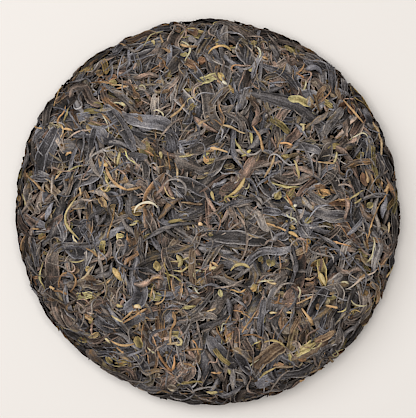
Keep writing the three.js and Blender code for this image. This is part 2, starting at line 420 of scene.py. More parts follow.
def joined(name, laid, around, material):
    """One mesh of all the laid leaves of a kind, with the values that its material reads."""
    starts = np.cumsum([0] + [len(leaf["place"]) for leaf in laid])
    corners = np.concatenate([leaf["blank"].corners + start for leaf, start in zip(laid, starts)])
    sizes = np.concatenate([leaf["blank"].sizes for leaf in laid])
    places = np.concatenate([leaf["place"] for leaf in laid]) * MM
    mesh = bpy.data.meshes.new(name)
    mesh.vertices.add(len(places))
    mesh.vertices.foreach_set("co", places.ravel())
    mesh.loops.add(len(corners))
    mesh.loops.foreach_set("vertex_index", corners.astype(np.int32))
    mesh.polygons.add(len(sizes))
    mesh.polygons.foreach_set("loop_start", (np.cumsum(sizes) - sizes).astype(np.int32))
    mesh.update(calc_edges=True)
    mesh.validate()

    grain = []
    for leaf in laid:
        shift = draw.uniform(*GRAIN_STARTS, 2)
        blank = leaf["blank"]
        grain.append(np.stack([
            blank.place[:, 0] * leaf["length"] + shift[0],
            blank.grain * leaf["width"] + shift[1],
        ], axis=1))
    grain = np.concatenate(grain)
    mesh.uv_layers.new(name="grain").data.foreach_set("uv", grain[corners].ravel())
    values = {
        key: np.concatenate([np.full(len(leaf["place"]), leaf[key]) for leaf in laid])
        for key in ("tone", "hue", "warmth")
    }
    values |= {
        "depth": stand_out(laid, around),
        "painted_relief_shade": np.concatenate([leaf["blank"].painted_relief_shade for leaf in laid]),
        "edge": np.concatenate([leaf["blank"].edge for leaf in laid]),
    }
    for key, numbers in values.items():
        mesh.attributes.new(key, "FLOAT", "POINT").data.foreach_set("value", numbers)
    mesh.polygons.foreach_set("use_smooth", np.full(len(sizes), True))
    mesh.set_sharp_from_angle(angle=math.radians(CREASE_ANGLE))
    mesh.materials.append(material)
    piece = bpy.data.objects.new(name, mesh)
    bpy.context.scene.collection.objects.link(piece)
    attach(piece, "root")
    triangles = int((sizes - 2).sum())
    print(f"{name}: {len(laid)} pieces, {triangles} triangles")
    return piece


# %% [markdown]
# ## The shapes of the blanks
# Tea leaves are rolled between the hands before they dry, so most are long rolls with a seam and lengthwise
# folds, and the thinnest are twisted like wire. Large leaves stay open and are pressed into pleated strips.
# A roll starts as a cone without a taper, cut into rings, whose rings are then turned, folded and thinned.

# %% A round blank: cut rings along a cylinder and shape each
def tube(sides, rings):
    """A capped cylinder along X from -0.5 to 0.5, radius 1, with rings cut along it."""
    bm = new_bmesh()
    bmesh.ops.create_cone(bm, cap_ends=True, segments=sides, radius1=1, radius2=1, depth=1)
    lengthwise = [e for e in bm.edges if abs(e.verts[0].co.z - e.verts[1].co.z) > 0.5]
    bmesh.ops.subdivide_edges(bm, edges=lengthwise, cuts=rings - 1)
    turn = Vector((0, 0, 1)).rotation_difference(Vector((1, 0, 0))).to_matrix()
    bmesh.ops.rotate(bm, verts=bm.verts, matrix=turn, cent=(0, 0, 0))
    return bm


DEEPEST_FOLD, HIGHEST_FOLD = 0.6, 1.15  # shares of a tube's radius where its painted relief shade is 0, darkest as shade in a fold, and 1, palest as light on a ridge


def wave(x, shape, start):
    """A wave along a leaf, from its height and the angle that it runs through, which are its shape."""
    height, turn = shape
    return height * math.sin(turn * x + start)


def shape_tube(bm, radius_at, section_at, twist_at, flatness=1.0, crumple=0.04):
    """Moves each ring's vertices: how thick along the tube, how folded around it, how far turned."""
    grain = bm.verts.layers.float["grain"]
    painted_relief_shade = bm.verts.layers.float["painted_relief_shade"]
    for v in bm.verts:
        x, angle = v.co.x, math.atan2(v.co.z, v.co.y)
        fold = section_at(angle, x)
        radius = radius_at(x) * fold * (1 + draw.uniform(-crumple, crumple))
        flat = (radius * math.cos(angle), flatness * radius * math.sin(angle))
        turned = twist_at(x)
        v.co.y = flat[0] * math.cos(turned) - flat[1] * math.sin(turned)
        v.co.z = flat[0] * math.sin(turned) + flat[1] * math.cos(turned)
        v[grain] = abs(angle) / 2
        # Folds are painted darker as shade and ridges paler as light.
        v[painted_relief_shade] = min(max((fold - DEEPEST_FOLD) / (HIGHEST_FOLD - DEEPEST_FOLD), 0), 1)


# %% Rolled and twisted leaves
SEAM_DEPTH = 0.45
FOLD_WAVE = (0.5, 6)  # each wave's height, and the angle that it runs through along a leaf
ROLL_LUMPS = (0.13, 11)
ROLL_WOBBLE = (0.35, 7)
SKEWED = 0.18  # how far the thickest place of a roll may lie from its middle
BLUNTNESS = (1.6, 3.2)


def folds_around(sides, deepest):
    """A roll's section: each side's edge is a lengthwise fold, and one is the seam where the leaf ends."""
    depth = draw.uniform(-0.1, 1, sides) * deepest
    depth[draw.integers(sides)] = SEAM_DEPTH
    drift = draw.uniform(0, math.tau, sides)

    def fold(angle, x):
        side = round(angle / math.tau * sides) % sides
        return 1 - depth[side] * (1 + wave(x, FOLD_WAVE, drift[side]))

    return fold


def rolled_blank(sides, rings, turns, flatness, deepest, point):
    """A rolled leaf: how many turns it is twisted by, how flat, how deep its folds, how thick its ends."""
    bm = tube(sides, rings)
    lump, drift = draw.uniform(0, math.tau, 2)
    skew = draw.uniform(-SKEWED, SKEWED)
    blunt = draw.uniform(*BLUNTNESS)
    twist = draw.uniform(*turns) * math.tau * draw.choice([-1, 1])

    def thick(x):
        middle = max(1 - abs(2 * (x + skew * (1 - 4 * x * x))) ** blunt, 0)
        return (point + (1 - point) * middle ** 0.7) * (1 + wave(x, ROLL_LUMPS, lump))

    def turned(x):
        return twist * x + wave(x, ROLL_WOBBLE, drift)

    shape_tube(bm, thick, folds_around(sides, deepest), turned, flatness, 0.07)
    return Blank(bm)


ROLLED_SHAPES, TWISTED_SHAPES = 16, 12
rolled = [rolled_blank(10, 9, (0.05, 0.3), 0.6, 0.3, 0.15) for _ in range(ROLLED_SHAPES)]
twisted = [rolled_blank(7, 11, (0.5, 1.3), 0.55, 0.3, 0.25) for _ in range(TWISTED_SHAPES)]
print("faces of a rolled and a twisted leaf:", len(rolled[0].sizes), len(twisted[0].sizes))

# %% [markdown]
# A broad leaf is a sheet. A grid is drawn in towards its ends, pleated along its veins, curled at its edges
# and given a thickness, so it has two faces and an edge as a real leaf has. Its lower face is a little wider
# and nearly black, which draws a dark line round the leaf as its shadow does. Leaves that were folded along
# their length before they were pressed are narrower, and their pleats are deeper.

# %% Broad, folded and torn leaves
UNDERNEATH = -0.25  # the painted relief shade of a leaf's lower face, a nearly black painted shadow
MARGIN = 0.09  # how much wider the lower face is
SMOOTHER_PLEATS = (0.3, 0.4, 0.3)  # what a smooth leaf's pleat takes from itself and the ones beside it
SMOOTHER_CRUMPLE = 0.4
OUTLINE_WAVE = (0.08, 13)
SIDES_APART = 4  # how much later the outline's wave runs on one side than on the other
PLEAT_WAVE = (0.6, 7)
SHEET_WAVE = (0.04, 5)
SHEET_SWAY = (0.05, 4)
FULLNESS = (2.2, 4.5)  # how late along the leaf its outline draws in
CURL = 0.1


def sheet_blank(columns, rows, pleat, torn, thickness, point=(0.05, 0.35), crumple=0.02, smooth=False):
    """A flat leaf: how high its pleats are, how torn its edge, how thick it is, how wide its ends."""
    bm = new_bmesh()
    grain = bm.verts.layers.float["grain"]
    painted_relief_shade = bm.verts.layers.float["painted_relief_shade"]
    bmesh.ops.create_grid(bm, x_segments=columns, y_segments=rows, size=0.5)
    pleats = draw.uniform(-1, 1, rows + 1)
    pleats[::2] = np.abs(pleats[::2])
    pleats[1::2] = -np.abs(pleats[1::2])
    if smooth:
        pleats = np.convolve(pleats, SMOOTHER_PLEATS, "same")
        crumple *= SMOOTHER_CRUMPLE
    drifts = draw.uniform(0, math.tau, rows + 1)
    start, drift, lump = draw.uniform(0, math.tau, 3)
    curl, arch = draw.uniform(-CURL, CURL, 2)
    full = draw.uniform(*FULLNESS)
    ends = draw.uniform(*point, 2)
    for v in bm.verts:
        x, y = v.co.x, v.co.y
        line = min(max(round((y + 0.5) * rows), 0), rows)
        outline = max(1 - abs(2 * x) ** full, 0) ** 0.75
        end = ends[0] if x < 0 else ends[1]
        half = end + (1 - end) * outline
        half *= 1 + wave(x, OUTLINE_WAVE, lump + SIDES_APART * (y > 0)) + draw.uniform(-torn, torn)
        fold = pleats[line] * (1 + wave(x, PLEAT_WAVE, drifts[line]))
        v[grain] = y
        # Rising pleats are painted paler as light and sinking ones darker as shade.
        v[painted_relief_shade] = 0.5 + 0.12 * fold
        v.co.z = pleat * fold * (0.4 + 0.6 * half) + curl * abs(2 * y) ** 2.5 + arch * abs(2 * y)
        v.co.z += wave(x, SHEET_WAVE, drift) + draw.uniform(-crumple, crumple)
        v.co.y = y * half + wave(x, SHEET_SWAY, start)
        v.co.x += draw.uniform(-torn, torn) * 0.15
    shell = set(bm.verts)
    bmesh.ops.solidify(bm, geom=bm.faces[:], thickness=thickness)
    layers = [shell, set(bm.verts) - shell]
    lower = min(layers, key=lambda layer: sum(v.co.z for v in layer) / len(layer))
    # The wider lower face is painted nearly black: a painted shadow round the leaf.
    for v in lower:
        v.co.y *= 1 + MARGIN
        v[painted_relief_shade] = UNDERNEATH
    return Blank(bm, edged=True)


BROAD_SHAPES, FOLDED_SHAPES, BIT_SHAPES, TORN_SHAPES = 20, 18, 10, 6
broad = [
    sheet_blank(13, 8, 0.035, 0.05, 0.035, (0.15, 0.6), smooth=shape % 3 > 0)
    for shape in range(BROAD_SHAPES)
]
folded = [sheet_blank(9, 4, 0.07, 0.05, 0.06, (0.15, 0.7), 0.025) for _ in range(FOLDED_SHAPES)]
bits = [sheet_blank(4, 3, 0.1, 0.16, 0.06) for _ in range(BIT_SHAPES)]
torn_leaves = [sheet_blank(10, 7, 0.07, 0.13, 0.05, (0.55, 0.95), 0.035) for _ in range(TORN_SHAPES)]
print("faces of a broad leaf, a folded one and a bit:", *(len(k[0].sizes) for k in (broad, folded, bits)))

# %% [markdown]
# Strands are the stalks and edges of leaves, dried into curls. Stems are woody twigs with knots where leaves
# grew, broken off blunt. Tips are the youngest buds, spindles with a downy skin. Crumbs fill the gaps.

# %% Strands, stems, tips and crumbs
STRAND_LUMPS = (0.15, 14)
STEM_LUMPS = (0.08, 17)
STEM_RIBS = (0.07, 3)  # round the stem
KNOT_HEIGHT, KNOT_WIDTH = 0.3, 0.06
END_WEAR = 0.45
STEM_LEAN = 0.25  # how much thicker than the middle one end of a stem may be
BUD_END, BUD_SEAM = 0.06, 0.25
CRUMB_SIZES = (0.65, 1.2)


def strand_blank():
    """A thin strand that is thickest in its middle and a little lumpy."""
    bm = tube(5, 12)
    lump = draw.uniform(0, math.tau)

    def thick(x):
        return (0.35 + 0.65 * max(1 - abs(2 * x) ** 3, 0)) * (1 + wave(x, STRAND_LUMPS, lump))

    shape_tube(bm, thick, lambda angle, x: 1.0, lambda x: 1.5 * x, 0.85)
    return Blank(bm)


def stem_blank():
    """A woody stem with two knots, ribs, and one end thicker than the other."""
    bm = tube(7, 9)
    knots = draw.uniform(-0.42, 0.42, 2)
    ribs = draw.uniform(0, math.tau)
    lean = draw.uniform(-STEM_LEAN, STEM_LEAN)

    def thick(x):
        knot = KNOT_HEIGHT * sum(math.exp(-((x - k) / KNOT_WIDTH) ** 2) for k in knots)
        worn = 1 - END_WEAR * abs(2 * x) ** 5
        return (0.75 + lean * 2 * x + knot + wave(x, STEM_LUMPS, ribs)) * worn

    shape_tube(bm, thick, lambda angle, x: 1 + wave(angle, STEM_RIBS, ribs), lambda x: 0.6 * x)
    return Blank(bm)


def tip_blank():
    """A bud, fattest near its foot, with the seam where its outer leaf closes."""
    bm = tube(8, 9)
    seam = draw.uniform(-3, 3)
    fat = draw.uniform(-0.3, -0.1)

    def thick(x):
        rise = max(1 - ((x - fat) / (0.5 + fat if x < fat else 0.5 - fat)) ** 2, 0)
        return BUD_END + (1 - BUD_END) * rise ** 0.75

    def seamed(angle, x):
        return 1 - BUD_SEAM * math.exp(-((angle - seam) * 2) ** 2)

    shape_tube(bm, thick, seamed, lambda x: 1.2 * x, 0.75)
    return Blank(bm)


def crumb_blank():
    """A broken bit of leaf: a ball of twenty faces whose corners are pushed in and out."""
    bm = new_bmesh()
    bmesh.ops.create_icosphere(bm, subdivisions=1, radius=0.5)
    for v in bm.verts:
        v.co *= draw.uniform(*CRUMB_SIZES)
        v[bm.verts.layers.float["painted_relief_shade"]] = 0.5
    return Blank(bm)


STRAND_SHAPES, STEM_SHAPES, TIP_SHAPES, CRUMB_SHAPES = 6, 10, 8, 12
strands = [strand_blank() for _ in range(STRAND_SHAPES)]
stems = [stem_blank() for _ in range(STEM_SHAPES)]
tips = [tip_blank() for _ in range(TIP_SHAPES)]
crumbs = [crumb_blank() for _ in range(CRUMB_SHAPES)]
print("faces of a strand, stem, tip, crumb:", *(len(k[0].sizes) for k in (strands, stems, tips, crumbs)))

# %% [markdown]
# ## The finishes
# All the leaves share one way of colouring. Each leaf has its own tone and hue, fine streaks run along its
# grain, its ridges are painted paler as light and its folds darker as shade, and where it lies lower than
# the leaves around it, it is painted darker as shade. Wrinkles are a bump along the grain. The kinds differ
# in their colours and in how much they shine. Every finish is a tree of nodes, and a few functions shorten
# making them.

# %% Short ways to make nodes
def node(tree, kind, place, **values):
    """A new node at a place in the tree, with its settings and the values of its sockets."""
    made = tree.nodes.new(kind)
    made.location = place
    for key, value in values.items():
        if hasattr(made, key):
            setattr(made, key, value)
        else:
            made.inputs[key].default_value = value
    return made


def value_of(tree, name, place):
    """The value that each vertex of a piece holds under a name."""
    return node(tree, "ShaderNodeAttribute", place, attribute_name=name).outputs["Fac"]


def ramp(tree, source, colours, place):
    """A colour ramp from a row of places and colours."""
    made = node(tree, "ShaderNodeValToRGB", place)
    marks = made.color_ramp.elements
    while len(marks) < len(colours):
        marks.new(0.5)
    for mark, (where, colour) in zip(marks, colours):
        mark.position = where
        mark.color = (*colour, 1)
    tree.links.new(source, made.inputs["Fac"])
    return made.outputs["Color"]


def math_node(tree, operation, place, *values):
    """Works out a value from sockets and numbers."""
    made = node(tree, "ShaderNodeMath", place, operation=operation)
    for socket, value in zip(made.inputs, values):
        if isinstance(value, (int, float)):
            socket.default_value = value
        else:
            tree.links.new(value, socket)
    return made.outputs[0]


def swing(tree, source, strength, place):
    """A texture's values, from minus half a strength to plus half of it."""
    return math_node(tree, "MULTIPLY_ADD", place, source, strength, -strength / 2)


def from_range(tree, source, before, after, place):
    """A source's values, moved from one range to another and held within it."""
    made = node(tree, "ShaderNodeMapRange", place, clamp=True)
    for key, bound in zip(("From Min", "From Max", "To Min", "To Max"), (*before, *after)):
        made.inputs[key].default_value = bound
    tree.links.new(source, made.inputs["Value"])
    return made.outputs[0]


def stretched(tree, grain, shares, place):
    """The grain's millimetres, each way by its own share, so that a pattern comes out longer than wide."""
    made = node(tree, "ShaderNodeMapping", place, Scale=(*shares, 1))
    tree.links.new(grain, made.inputs["Vector"])
    return made.outputs[0]


def texture(tree, kind, source, place, **values):
    """A texture that reads the given coordinates."""
    made = node(tree, kind, place, **values)
    tree.links.new(source, made.inputs["Vector"])
    return made


def blend_colours(tree, mode, factor, first, second, place):
    """Mixes or multiplies two colours."""
    made = node(tree, "ShaderNodeMix", place, data_type="RGBA", blend_type=mode)
    sockets = {s.identifier: s for s in made.inputs}
    if isinstance(factor, float):
        sockets["Factor_Float"].default_value = factor
    else:
        tree.links.new(factor, sockets["Factor_Float"])
    tree.links.new(first, sockets["A_Color"])
    tree.links.new(second, sockets["B_Color"])
    return next(s for s in made.outputs if s.identifier == "Result_Color")


# %% [markdown]
# A leaf's tone runs from 0, its darkest colour, to 1, its palest. It is the leaf's own tone plus what the
# patterns on it add: streaks, mottles, light painted on its ridges and shade painted in its folds, the cells
# of its skin painted a little paler as light and the creases between them darker as shade, blotches, and a
# highlight painted along its edge. Its stains have a colour of their own, and its warmth turns it from blue
# grey to reddish.

# %% What a leaf's skin looks like
STREAK_GRAIN = (0.11, 1.1)  # how often each pattern repeats in a millimetre, along the grain and across it
PATCH_GRAIN = (0.16, 0.35)
CELL_GRAIN = (0.42, 1.05)
CELL_BENDING = (0.9, 0.9, 0)  # how far the creases between the cells wander
STREAKS = 0.3
MOTTLES = 1.1
# how strongly the light and shade painted on ridges and folds change a leaf's tone
RELIEF_SHADING = 0.8
PLAIN_RIDGE = 0.5825  # the painted relief shade that leaves the tone as it is
CREASE_WIDTH = 0.13  # as a share of a raised cell
# The raised cells are painted this much paler, as light, and the creases darker, as shade.
CELL_PALER = 0.06
RIM_START = 0.84  # the share of the way out to the edge where the highlight painted along the rim starts
RIM_HIGHLIGHT = 0.36
STAIN_SWING = 1.6
STAIN_FADE = 0.15
WARMTH_SWING = 0.9
GAP_DEPTHS = (-0.8, 0.05)  # millimetres over its neighbours where a leaf is painted darkest as shade, and where not shaded
SHEEN_ROUGHNESS = 0.4
BUMP_HEIGHT = 0.0004
SHADES = ((0.0, 0.08), (0.3, 0.4), (0.6, 1.0), (0.85, 1.9), (1.0, 3.0))  # places in a ramp, and shares
PALEST = 0.8

# What a leaf's colour is multiplied by, from the coolest grey leaves to the reddest ones.
TINGES = [(0.0, (0.85, 0.98, 1.29)), (0.35, (0.93, 1.0, 1.15)), (0.6, (1.0, 1.0, 1.02)),
          (0.85, (1.1, 0.98, 0.93)), (1.0, (1.25, 0.95, 0.84))]


def shades_of(colour):
    """A colour's dark, middle and pale shades, as a row for a ramp."""
    return [(place, tuple(min(share * c, PALEST) for c in colour)) for place, share in SHADES]


def skin_patterns(tree, creasing):
    """Streaks along a leaf's grain, crumples, patches, and the creases between raised cells, painted darker
    as shade.
    """
    grain = node(tree, "ShaderNodeUVMap", (-1400, 0), uv_map="grain").outputs[0]
    fine = stretched(tree, grain, STREAK_GRAIN, (-1200, 100))
    streaks = texture(tree, "ShaderNodeTexNoise", fine, (-1000, 100), Scale=1.0, Detail=3.0, Roughness=0.6)
    crumple = texture(tree, "ShaderNodeTexNoise", grain, (-1000, -500), Scale=1.5, Detail=3.0, Roughness=0.7)
    coarse = stretched(tree, grain, PATCH_GRAIN, (-1200, -200))
    patches = texture(tree, "ShaderNodeTexNoise", coarse, (-1000, -200), Scale=1.0, Detail=2.0)

    # Dried leaves shrink into small raised cells, longer than wide, with creases between them. The creases
    # are painted darker as shade and the cells a little paler as light.
    cells = stretched(tree, grain, CELL_GRAIN, (-1200, -800))
    bent = node(tree, "ShaderNodeVectorMath", (-1000, -900), operation="MULTIPLY_ADD")
    tree.links.new(crumple.outputs["Color"], bent.inputs[0])
    bent.inputs[1].default_value = CELL_BENDING
    tree.links.new(cells, bent.inputs[2])
    creases = texture(
        tree, "ShaderNodeTexVoronoi", bent.outputs[0], (-800, -800), feature="DISTANCE_TO_EDGE", Scale=1.0,
    )
    creased = from_range(
        tree, creases.outputs["Distance"], (0, CREASE_WIDTH), (creasing, CELL_PALER), (-600, -800),
    )
    return streaks.outputs["Fac"], crumple.outputs["Fac"], patches.outputs["Fac"], creased


def patterned_tone(tree, streaks, crumple, patches, creased, blotches):
    """A leaf's own tone plus what the patterns add, with the light and shade painted on its ridges, folds
    and edge.
    """
    tone = value_of(tree, "tone", (-1000, 400))
    painted_relief_shade = value_of(tree, "painted_relief_shade", (-1000, 600))
    edge = value_of(tree, "edge", (-1000, 1400))
    patterns = (
        swing(tree, streaks, STREAKS, (-800, 300)),
        swing(tree, crumple, MOTTLES, (-800, 100)),
        math_node(tree, "MULTIPLY_ADD", (-800, 500), painted_relief_shade, RELIEF_SHADING, -RELIEF_SHADING * PLAIN_RIDGE),
        creased,
        swing(tree, patches, blotches, (-700, -50)),
        # a highlight painted along the leaf's edge, where curled edges catch light
        from_range(tree, edge, (RIM_START, 1), (0, RIM_HIGHLIGHT), (-800, 1400)),
    )
    for step, pattern in enumerate(patterns):
        tone = math_node(tree, "ADD", (-650 + 50 * step, 300), tone, pattern)
    return tone


def leaf_colour(tree, tone, patches, tones, stain, stain_share, deep):
    """The colour of a tone, stained in patches, tinged by the leaf's warmth, and painted darker as shade
    where it lies below its neighbours.
    """
    stained = swing(tree, patches, STAIN_SWING, (-650, -100))
    stained = math_node(tree, "ADD", (-500, -100), stained, value_of(tree, "hue", (-1000, 1000)))
    unstained = 1 - stain_share
    stained = from_range(tree, stained, (unstained, unstained + STAIN_FADE), (0, 1), (-350, -100))
    warmth = swing(tree, patches, WARMTH_SWING, (-650, 1000))
    warmth = math_node(tree, "ADD", (-500, 1000), warmth, value_of(tree, "warmth", (-1000, 1200)))
    # Painted shade: a leaf that lies lower than the leaves around it is darkened.
    shade = from_range(tree, value_of(tree, "depth", (-1000, 800)), GAP_DEPTHS, (deep, 1), (-350, 700))
    colour = ramp(tree, tone, tones, (-350, 300))
    stains = ramp(tree, tone, shades_of(stain), (-350, 0))
    tints = ramp(tree, warmth, TINGES, (-350, 1000))
    colour = blend_colours(tree, "MIX", stained, colour, stains, (0, 200))
    colour = blend_colours(tree, "MULTIPLY", 1.0, colour, tints, (100, 400))
    return blend_colours(tree, "MULTIPLY", 1.0, colour, shade, (200, 200))


def leaf_finish(name, tones, stain, stain_share=0.3, roughness=(0.4, 0.62), wrinkle=0.6,
                specular=0.22, sheen=0.0, deep=0.09, creasing=-0.11, blotches=0.7):
    """A finish for a kind of leaf, from its row of tones, its stains' colour and how far they spread."""
    material = bpy.data.materials.new(name)
    material.use_nodes = True
    tree = material.node_tree
    tree.nodes.clear()
    out = node(tree, "ShaderNodeOutputMaterial", (900, 0))
    shader = node(tree, "ShaderNodeBsdfPrincipled", (600, 0))
    shader.inputs["Specular IOR Level"].default_value = specular
    shader.inputs["Sheen Weight"].default_value = sheen
    shader.inputs["Sheen Roughness"].default_value = SHEEN_ROUGHNESS
    tree.links.new(shader.outputs[0], out.inputs[0])

    streaks, crumple, patches, creased = skin_patterns(tree, creasing)
    tone = patterned_tone(tree, streaks, crumple, patches, creased, blotches)
    colour = leaf_colour(tree, tone, patches, tones, stain, stain_share, deep)
    tree.links.new(colour, shader.inputs["Base Color"])
    rough = from_range(tree, streaks, (0, 1), roughness, (200, -100))
    tree.links.new(rough, shader.inputs["Roughness"])
    wrinkles = math_node(tree, "ADD", (0, -400), streaks, crumple)
    wrinkles = math_node(tree, "ADD", (100, -400), wrinkles, creased)
    bump = node(tree, "ShaderNodeBump", (300, -300), Strength=wrinkle, Distance=BUMP_HEIGHT)
    tree.links.new(wrinkles, bump.inputs["Height"])
    tree.links.new(bump.outputs[0], shader.inputs["Normal"])
    print(name, "has", len(tree.nodes), "nodes")
    return material


# %% The finish of each kind
dark_leaf = leaf_finish(
    "dark_leaf",
    [(0.0, (0.010, 0.007, 0.0055)), (0.3, (0.044, 0.0355, 0.030)), (0.55, (0.136, 0.115, 0.099)),
     (0.8, (0.285, 0.247, 0.213)), (1.0, (0.56, 0.49, 0.41))],
    stain=(0.17, 0.125, 0.07),
    stain_share=0.12,
)
brown_leaf = leaf_finish(
    "brown_leaf",
    [(0.0, (0.025, 0.014, 0.008)), (0.35, (0.085, 0.052, 0.031)), (0.65, (0.21, 0.145, 0.088)),
     (1.0, (0.46, 0.36, 0.23))],
    stain=(0.24, 0.18, 0.09),
)
green_leaf = leaf_finish(
    "green_leaf",
    [(0.0, (0.04, 0.031, 0.010)), (0.35, (0.132, 0.106, 0.041)), (0.65, (0.315, 0.266, 0.112)),
     (1.0, (0.63, 0.555, 0.27))],
    stain=(0.23, 0.15, 0.065),
)
stem_bark = leaf_finish(
    "stem_bark",
    [(0.0, (0.04, 0.018, 0.008)), (0.35, (0.128, 0.071, 0.032)), (0.65, (0.29, 0.177, 0.087)),
     (1.0, (0.58, 0.42, 0.22))],
    stain=(0.25, 0.18, 0.09),
    wrinkle=0.4,
    deep=0.1,
    creasing=-0.12,
    blotches=1.3,
)
pale_tip = leaf_finish(
    "pale_tip",
    [(0.0, (0.12, 0.09, 0.03)), (0.4, (0.41, 0.32, 0.13)), (0.7, (0.63, 0.53, 0.285)),
     (1.0, (0.80, 0.74, 0.56))],
    stain=(0.42, 0.33, 0.10),
    roughness=(0.55, 0.75),
    sheen=0.2,
    deep=0.3,
    creasing=-0.1,
)
packed_crumb = leaf_finish(
    "packed_crumb",
    [(0.0, (0.012, 0.009, 0.006)), (0.6, (0.05, 0.036, 0.025)), (1.0, (0.16, 0.12, 0.08))],
    stain=(0.10, 0.07, 0.035),
    specular=0.05,
)

# %% [markdown]
# ## The imported core
# Under the leaves that show lies the mass of the cake. It takes the place of the plain model. Half of the
# section, a little within the skin, is spun round the middle and then roughened, so that any gap between the
# leaves shows dark broken tea and not a smooth wall. Its colour is painted with the darkest shade of the
# gaps.

# %% Spin the core and roughen it
CORE_DEPTH = 2.4  # under the skin
CORE_FOOT = 1.2  # how high the lowest part of its section is
CORE_STEPS = 180
CORE_EVERY = 4  # it takes every fourth point of the section
SAME_PLACE = 0.02
LUMPS = ((4.5, 0.8), (1.7, 0.45))  # how far apart lumps are and how high, the coarse ones and the fine ones
LUMP_FOOT = 0.6
CORE_GRAIN = 0.8


def core_mesh():
    """Half of the section, spun round the middle and roughened."""
    bm = bmesh.new()
    inner = section - section_normal * CORE_DEPTH
    inner[0] = np.maximum(inner[0], 0)
    inner[0, 0] = inner[0, -1] = 0
    inner[1] = np.maximum(inner[1], CORE_FOOT)
    points = inner[:, ::CORE_EVERY].T
    if not np.allclose(points[-1], inner[:, -1]):
        points = np.vstack([points, inner[:, -1]])
    verts = [bm.verts.new((r * MM, 0, z * MM)) for r, z in points]
    edges = [bm.edges.new(pair) for pair in zip(verts, verts[1:])]
    bmesh.ops.spin(bm, geom=verts + edges, cent=(0, 0, 0), axis=(0, 0, 1), angle=math.tau,
                   steps=CORE_STEPS, use_merge=True)
    bmesh.ops.remove_doubles(bm, verts=bm.verts, dist=SAME_PLACE * MM)
    bmesh.ops.recalc_face_normals(bm, faces=bm.faces)
    bm.normal_update()
    for v in bm.verts:
        lumps = sum(height * noise.noise(v.co / (span * MM)) for span, height in LUMPS)
        v.co += v.normal * lumps * MM
        v.co.z = max(v.co.z, LUMP_FOOT * MM)
    return bm


core_bm = core_mesh()
mesh = bpy.data.meshes.new("core")
core_bm.to_mesh(mesh)
core_bm.free()
uv = mesh.uv_layers.new(name="grain")
loops = np.empty(len(mesh.loops), np.int32)
mesh.loops.foreach_get("vertex_index", loops)
places = np.empty(len(mesh.vertices) * 3)
mesh.vertices.foreach_get("co", places)
places = places.reshape(-1, 3) / MM
uv.data.foreach_set("uv", (places[:, :2] * CORE_GRAIN)[loops].ravel())
# The core is painted with the darkest shade of the gaps, as if it lay far below its neighbours.
core_values = {"tone": 0.45, "hue": 0.5, "warmth": 0.6, "depth": -1.5, "painted_relief_shade": 0.5, "edge": 0.0}
for key, value in core_values.items():
    held = mesh.attributes.new(key, "FLOAT", "POINT")
    held.data.foreach_set("value", np.full(len(mesh.vertices), value))
mesh.polygons.foreach_set("use_smooth", np.full(len(mesh.polygons), True))
mesh.materials.append(packed_crumb)
core = bpy.data.objects.new("core", mesh)
bpy.context.scene.collection.objects.link(core)
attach(core, "root")
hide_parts("tea_cake")
print("core:", len(mesh.polygons), "faces")

# %% [markdown]
# ## Strewing the leaves
# For each leaf a few places are drawn, and it goes where the pile is lowest, as a hand fills hollows. The
# cloth combs neighbouring leaves a little the same way, and near the edge of the cake they lie along it.
# Each kind has its own range of lengths and widths in millimetres. Its flatness is its thickness as a share
# of its width, and its lanes are the lines along it that each rest on the pile, one for a roll and more for
# a wide sheet.

# %% Strew one leaf
KINDS = {
    "rolled": {"blanks": rolled, "length": (9, 26), "width": (1.8, 3.8), "flat": 0.6, "lanes": 1},
    "folded": {"blanks": folded, "length": (10, 28), "width": (2.6, 5.4), "flat": 0.32, "lanes": 2},
    "twisted": {"blanks": twisted, "length": (9, 30), "width": (0.9, 1.9), "flat": 0.75, "lanes": 1},
    "broad": {"blanks": broad, "length": (14, 36), "width": (4.5, 8.5), "flat": 0.18, "lanes": 4},
    "torn": {"blanks": torn_leaves, "length": (5, 12), "width": (4, 7), "flat": 0.2, "lanes": 3},
    "bit": {"blanks": bits, "length": (3, 8), "width": (2, 4.5), "flat": 0.22, "lanes": 2},
    "strand": {"blanks": strands, "length": (6, 20), "width": (0.6, 1.2), "flat": 0.85, "lanes": 1},
    "stem": {"blanks": stems, "length": (5, 18), "width": (0.8, 1.7), "flat": 0.85, "lanes": 1},
    "tip": {"blanks": tips, "length": (6, 14), "width": (1.2, 2.0), "flat": 0.6, "lanes": 1},
    "crumb": {"blanks": crumbs, "length": (1.0, 2.8), "width": (0.8, 1.8), "flat": 0.6, "lanes": 1},
}
SHEETS = ("broad", "torn", "folded")  # the kinds whose tops are flat
OUTER = {FACE: 116.0, UNDER: 100.0}  # how far out on each map leaves are strewn
EDGE_BAND = (84.0, 104.0)  # where on the map more and more of the leaves lie along the edge
RIM_BAND = 92.0  # where on the map the ring of leaves round the shoulder starts
SHOULDER_BAND = (88.0, 108.0)  # where on the map the leaves are painted darker, as shade on the shoulder
SHOULDER_SHADE = 0.34  # how much less tone the leaves on the shoulder have, as painted shade
COMBED = ((31, 0.7), (27, -1.3))  # how wide the combed areas are along X and Y, and where they start
COMBING, STRAYING = 1.1, 0.8  # radians that leaves turn with their area, and each by itself
LOOKED_AT = np.linspace(-0.4, 0.4, 7)  # where under a leaf the pile is measured, as shares of its length
THICKNESSES = (0.8, 1.25)
SWAY, SWAY_OF_CURL = 0.22, 40
WAVES = (0.5, 1.3)


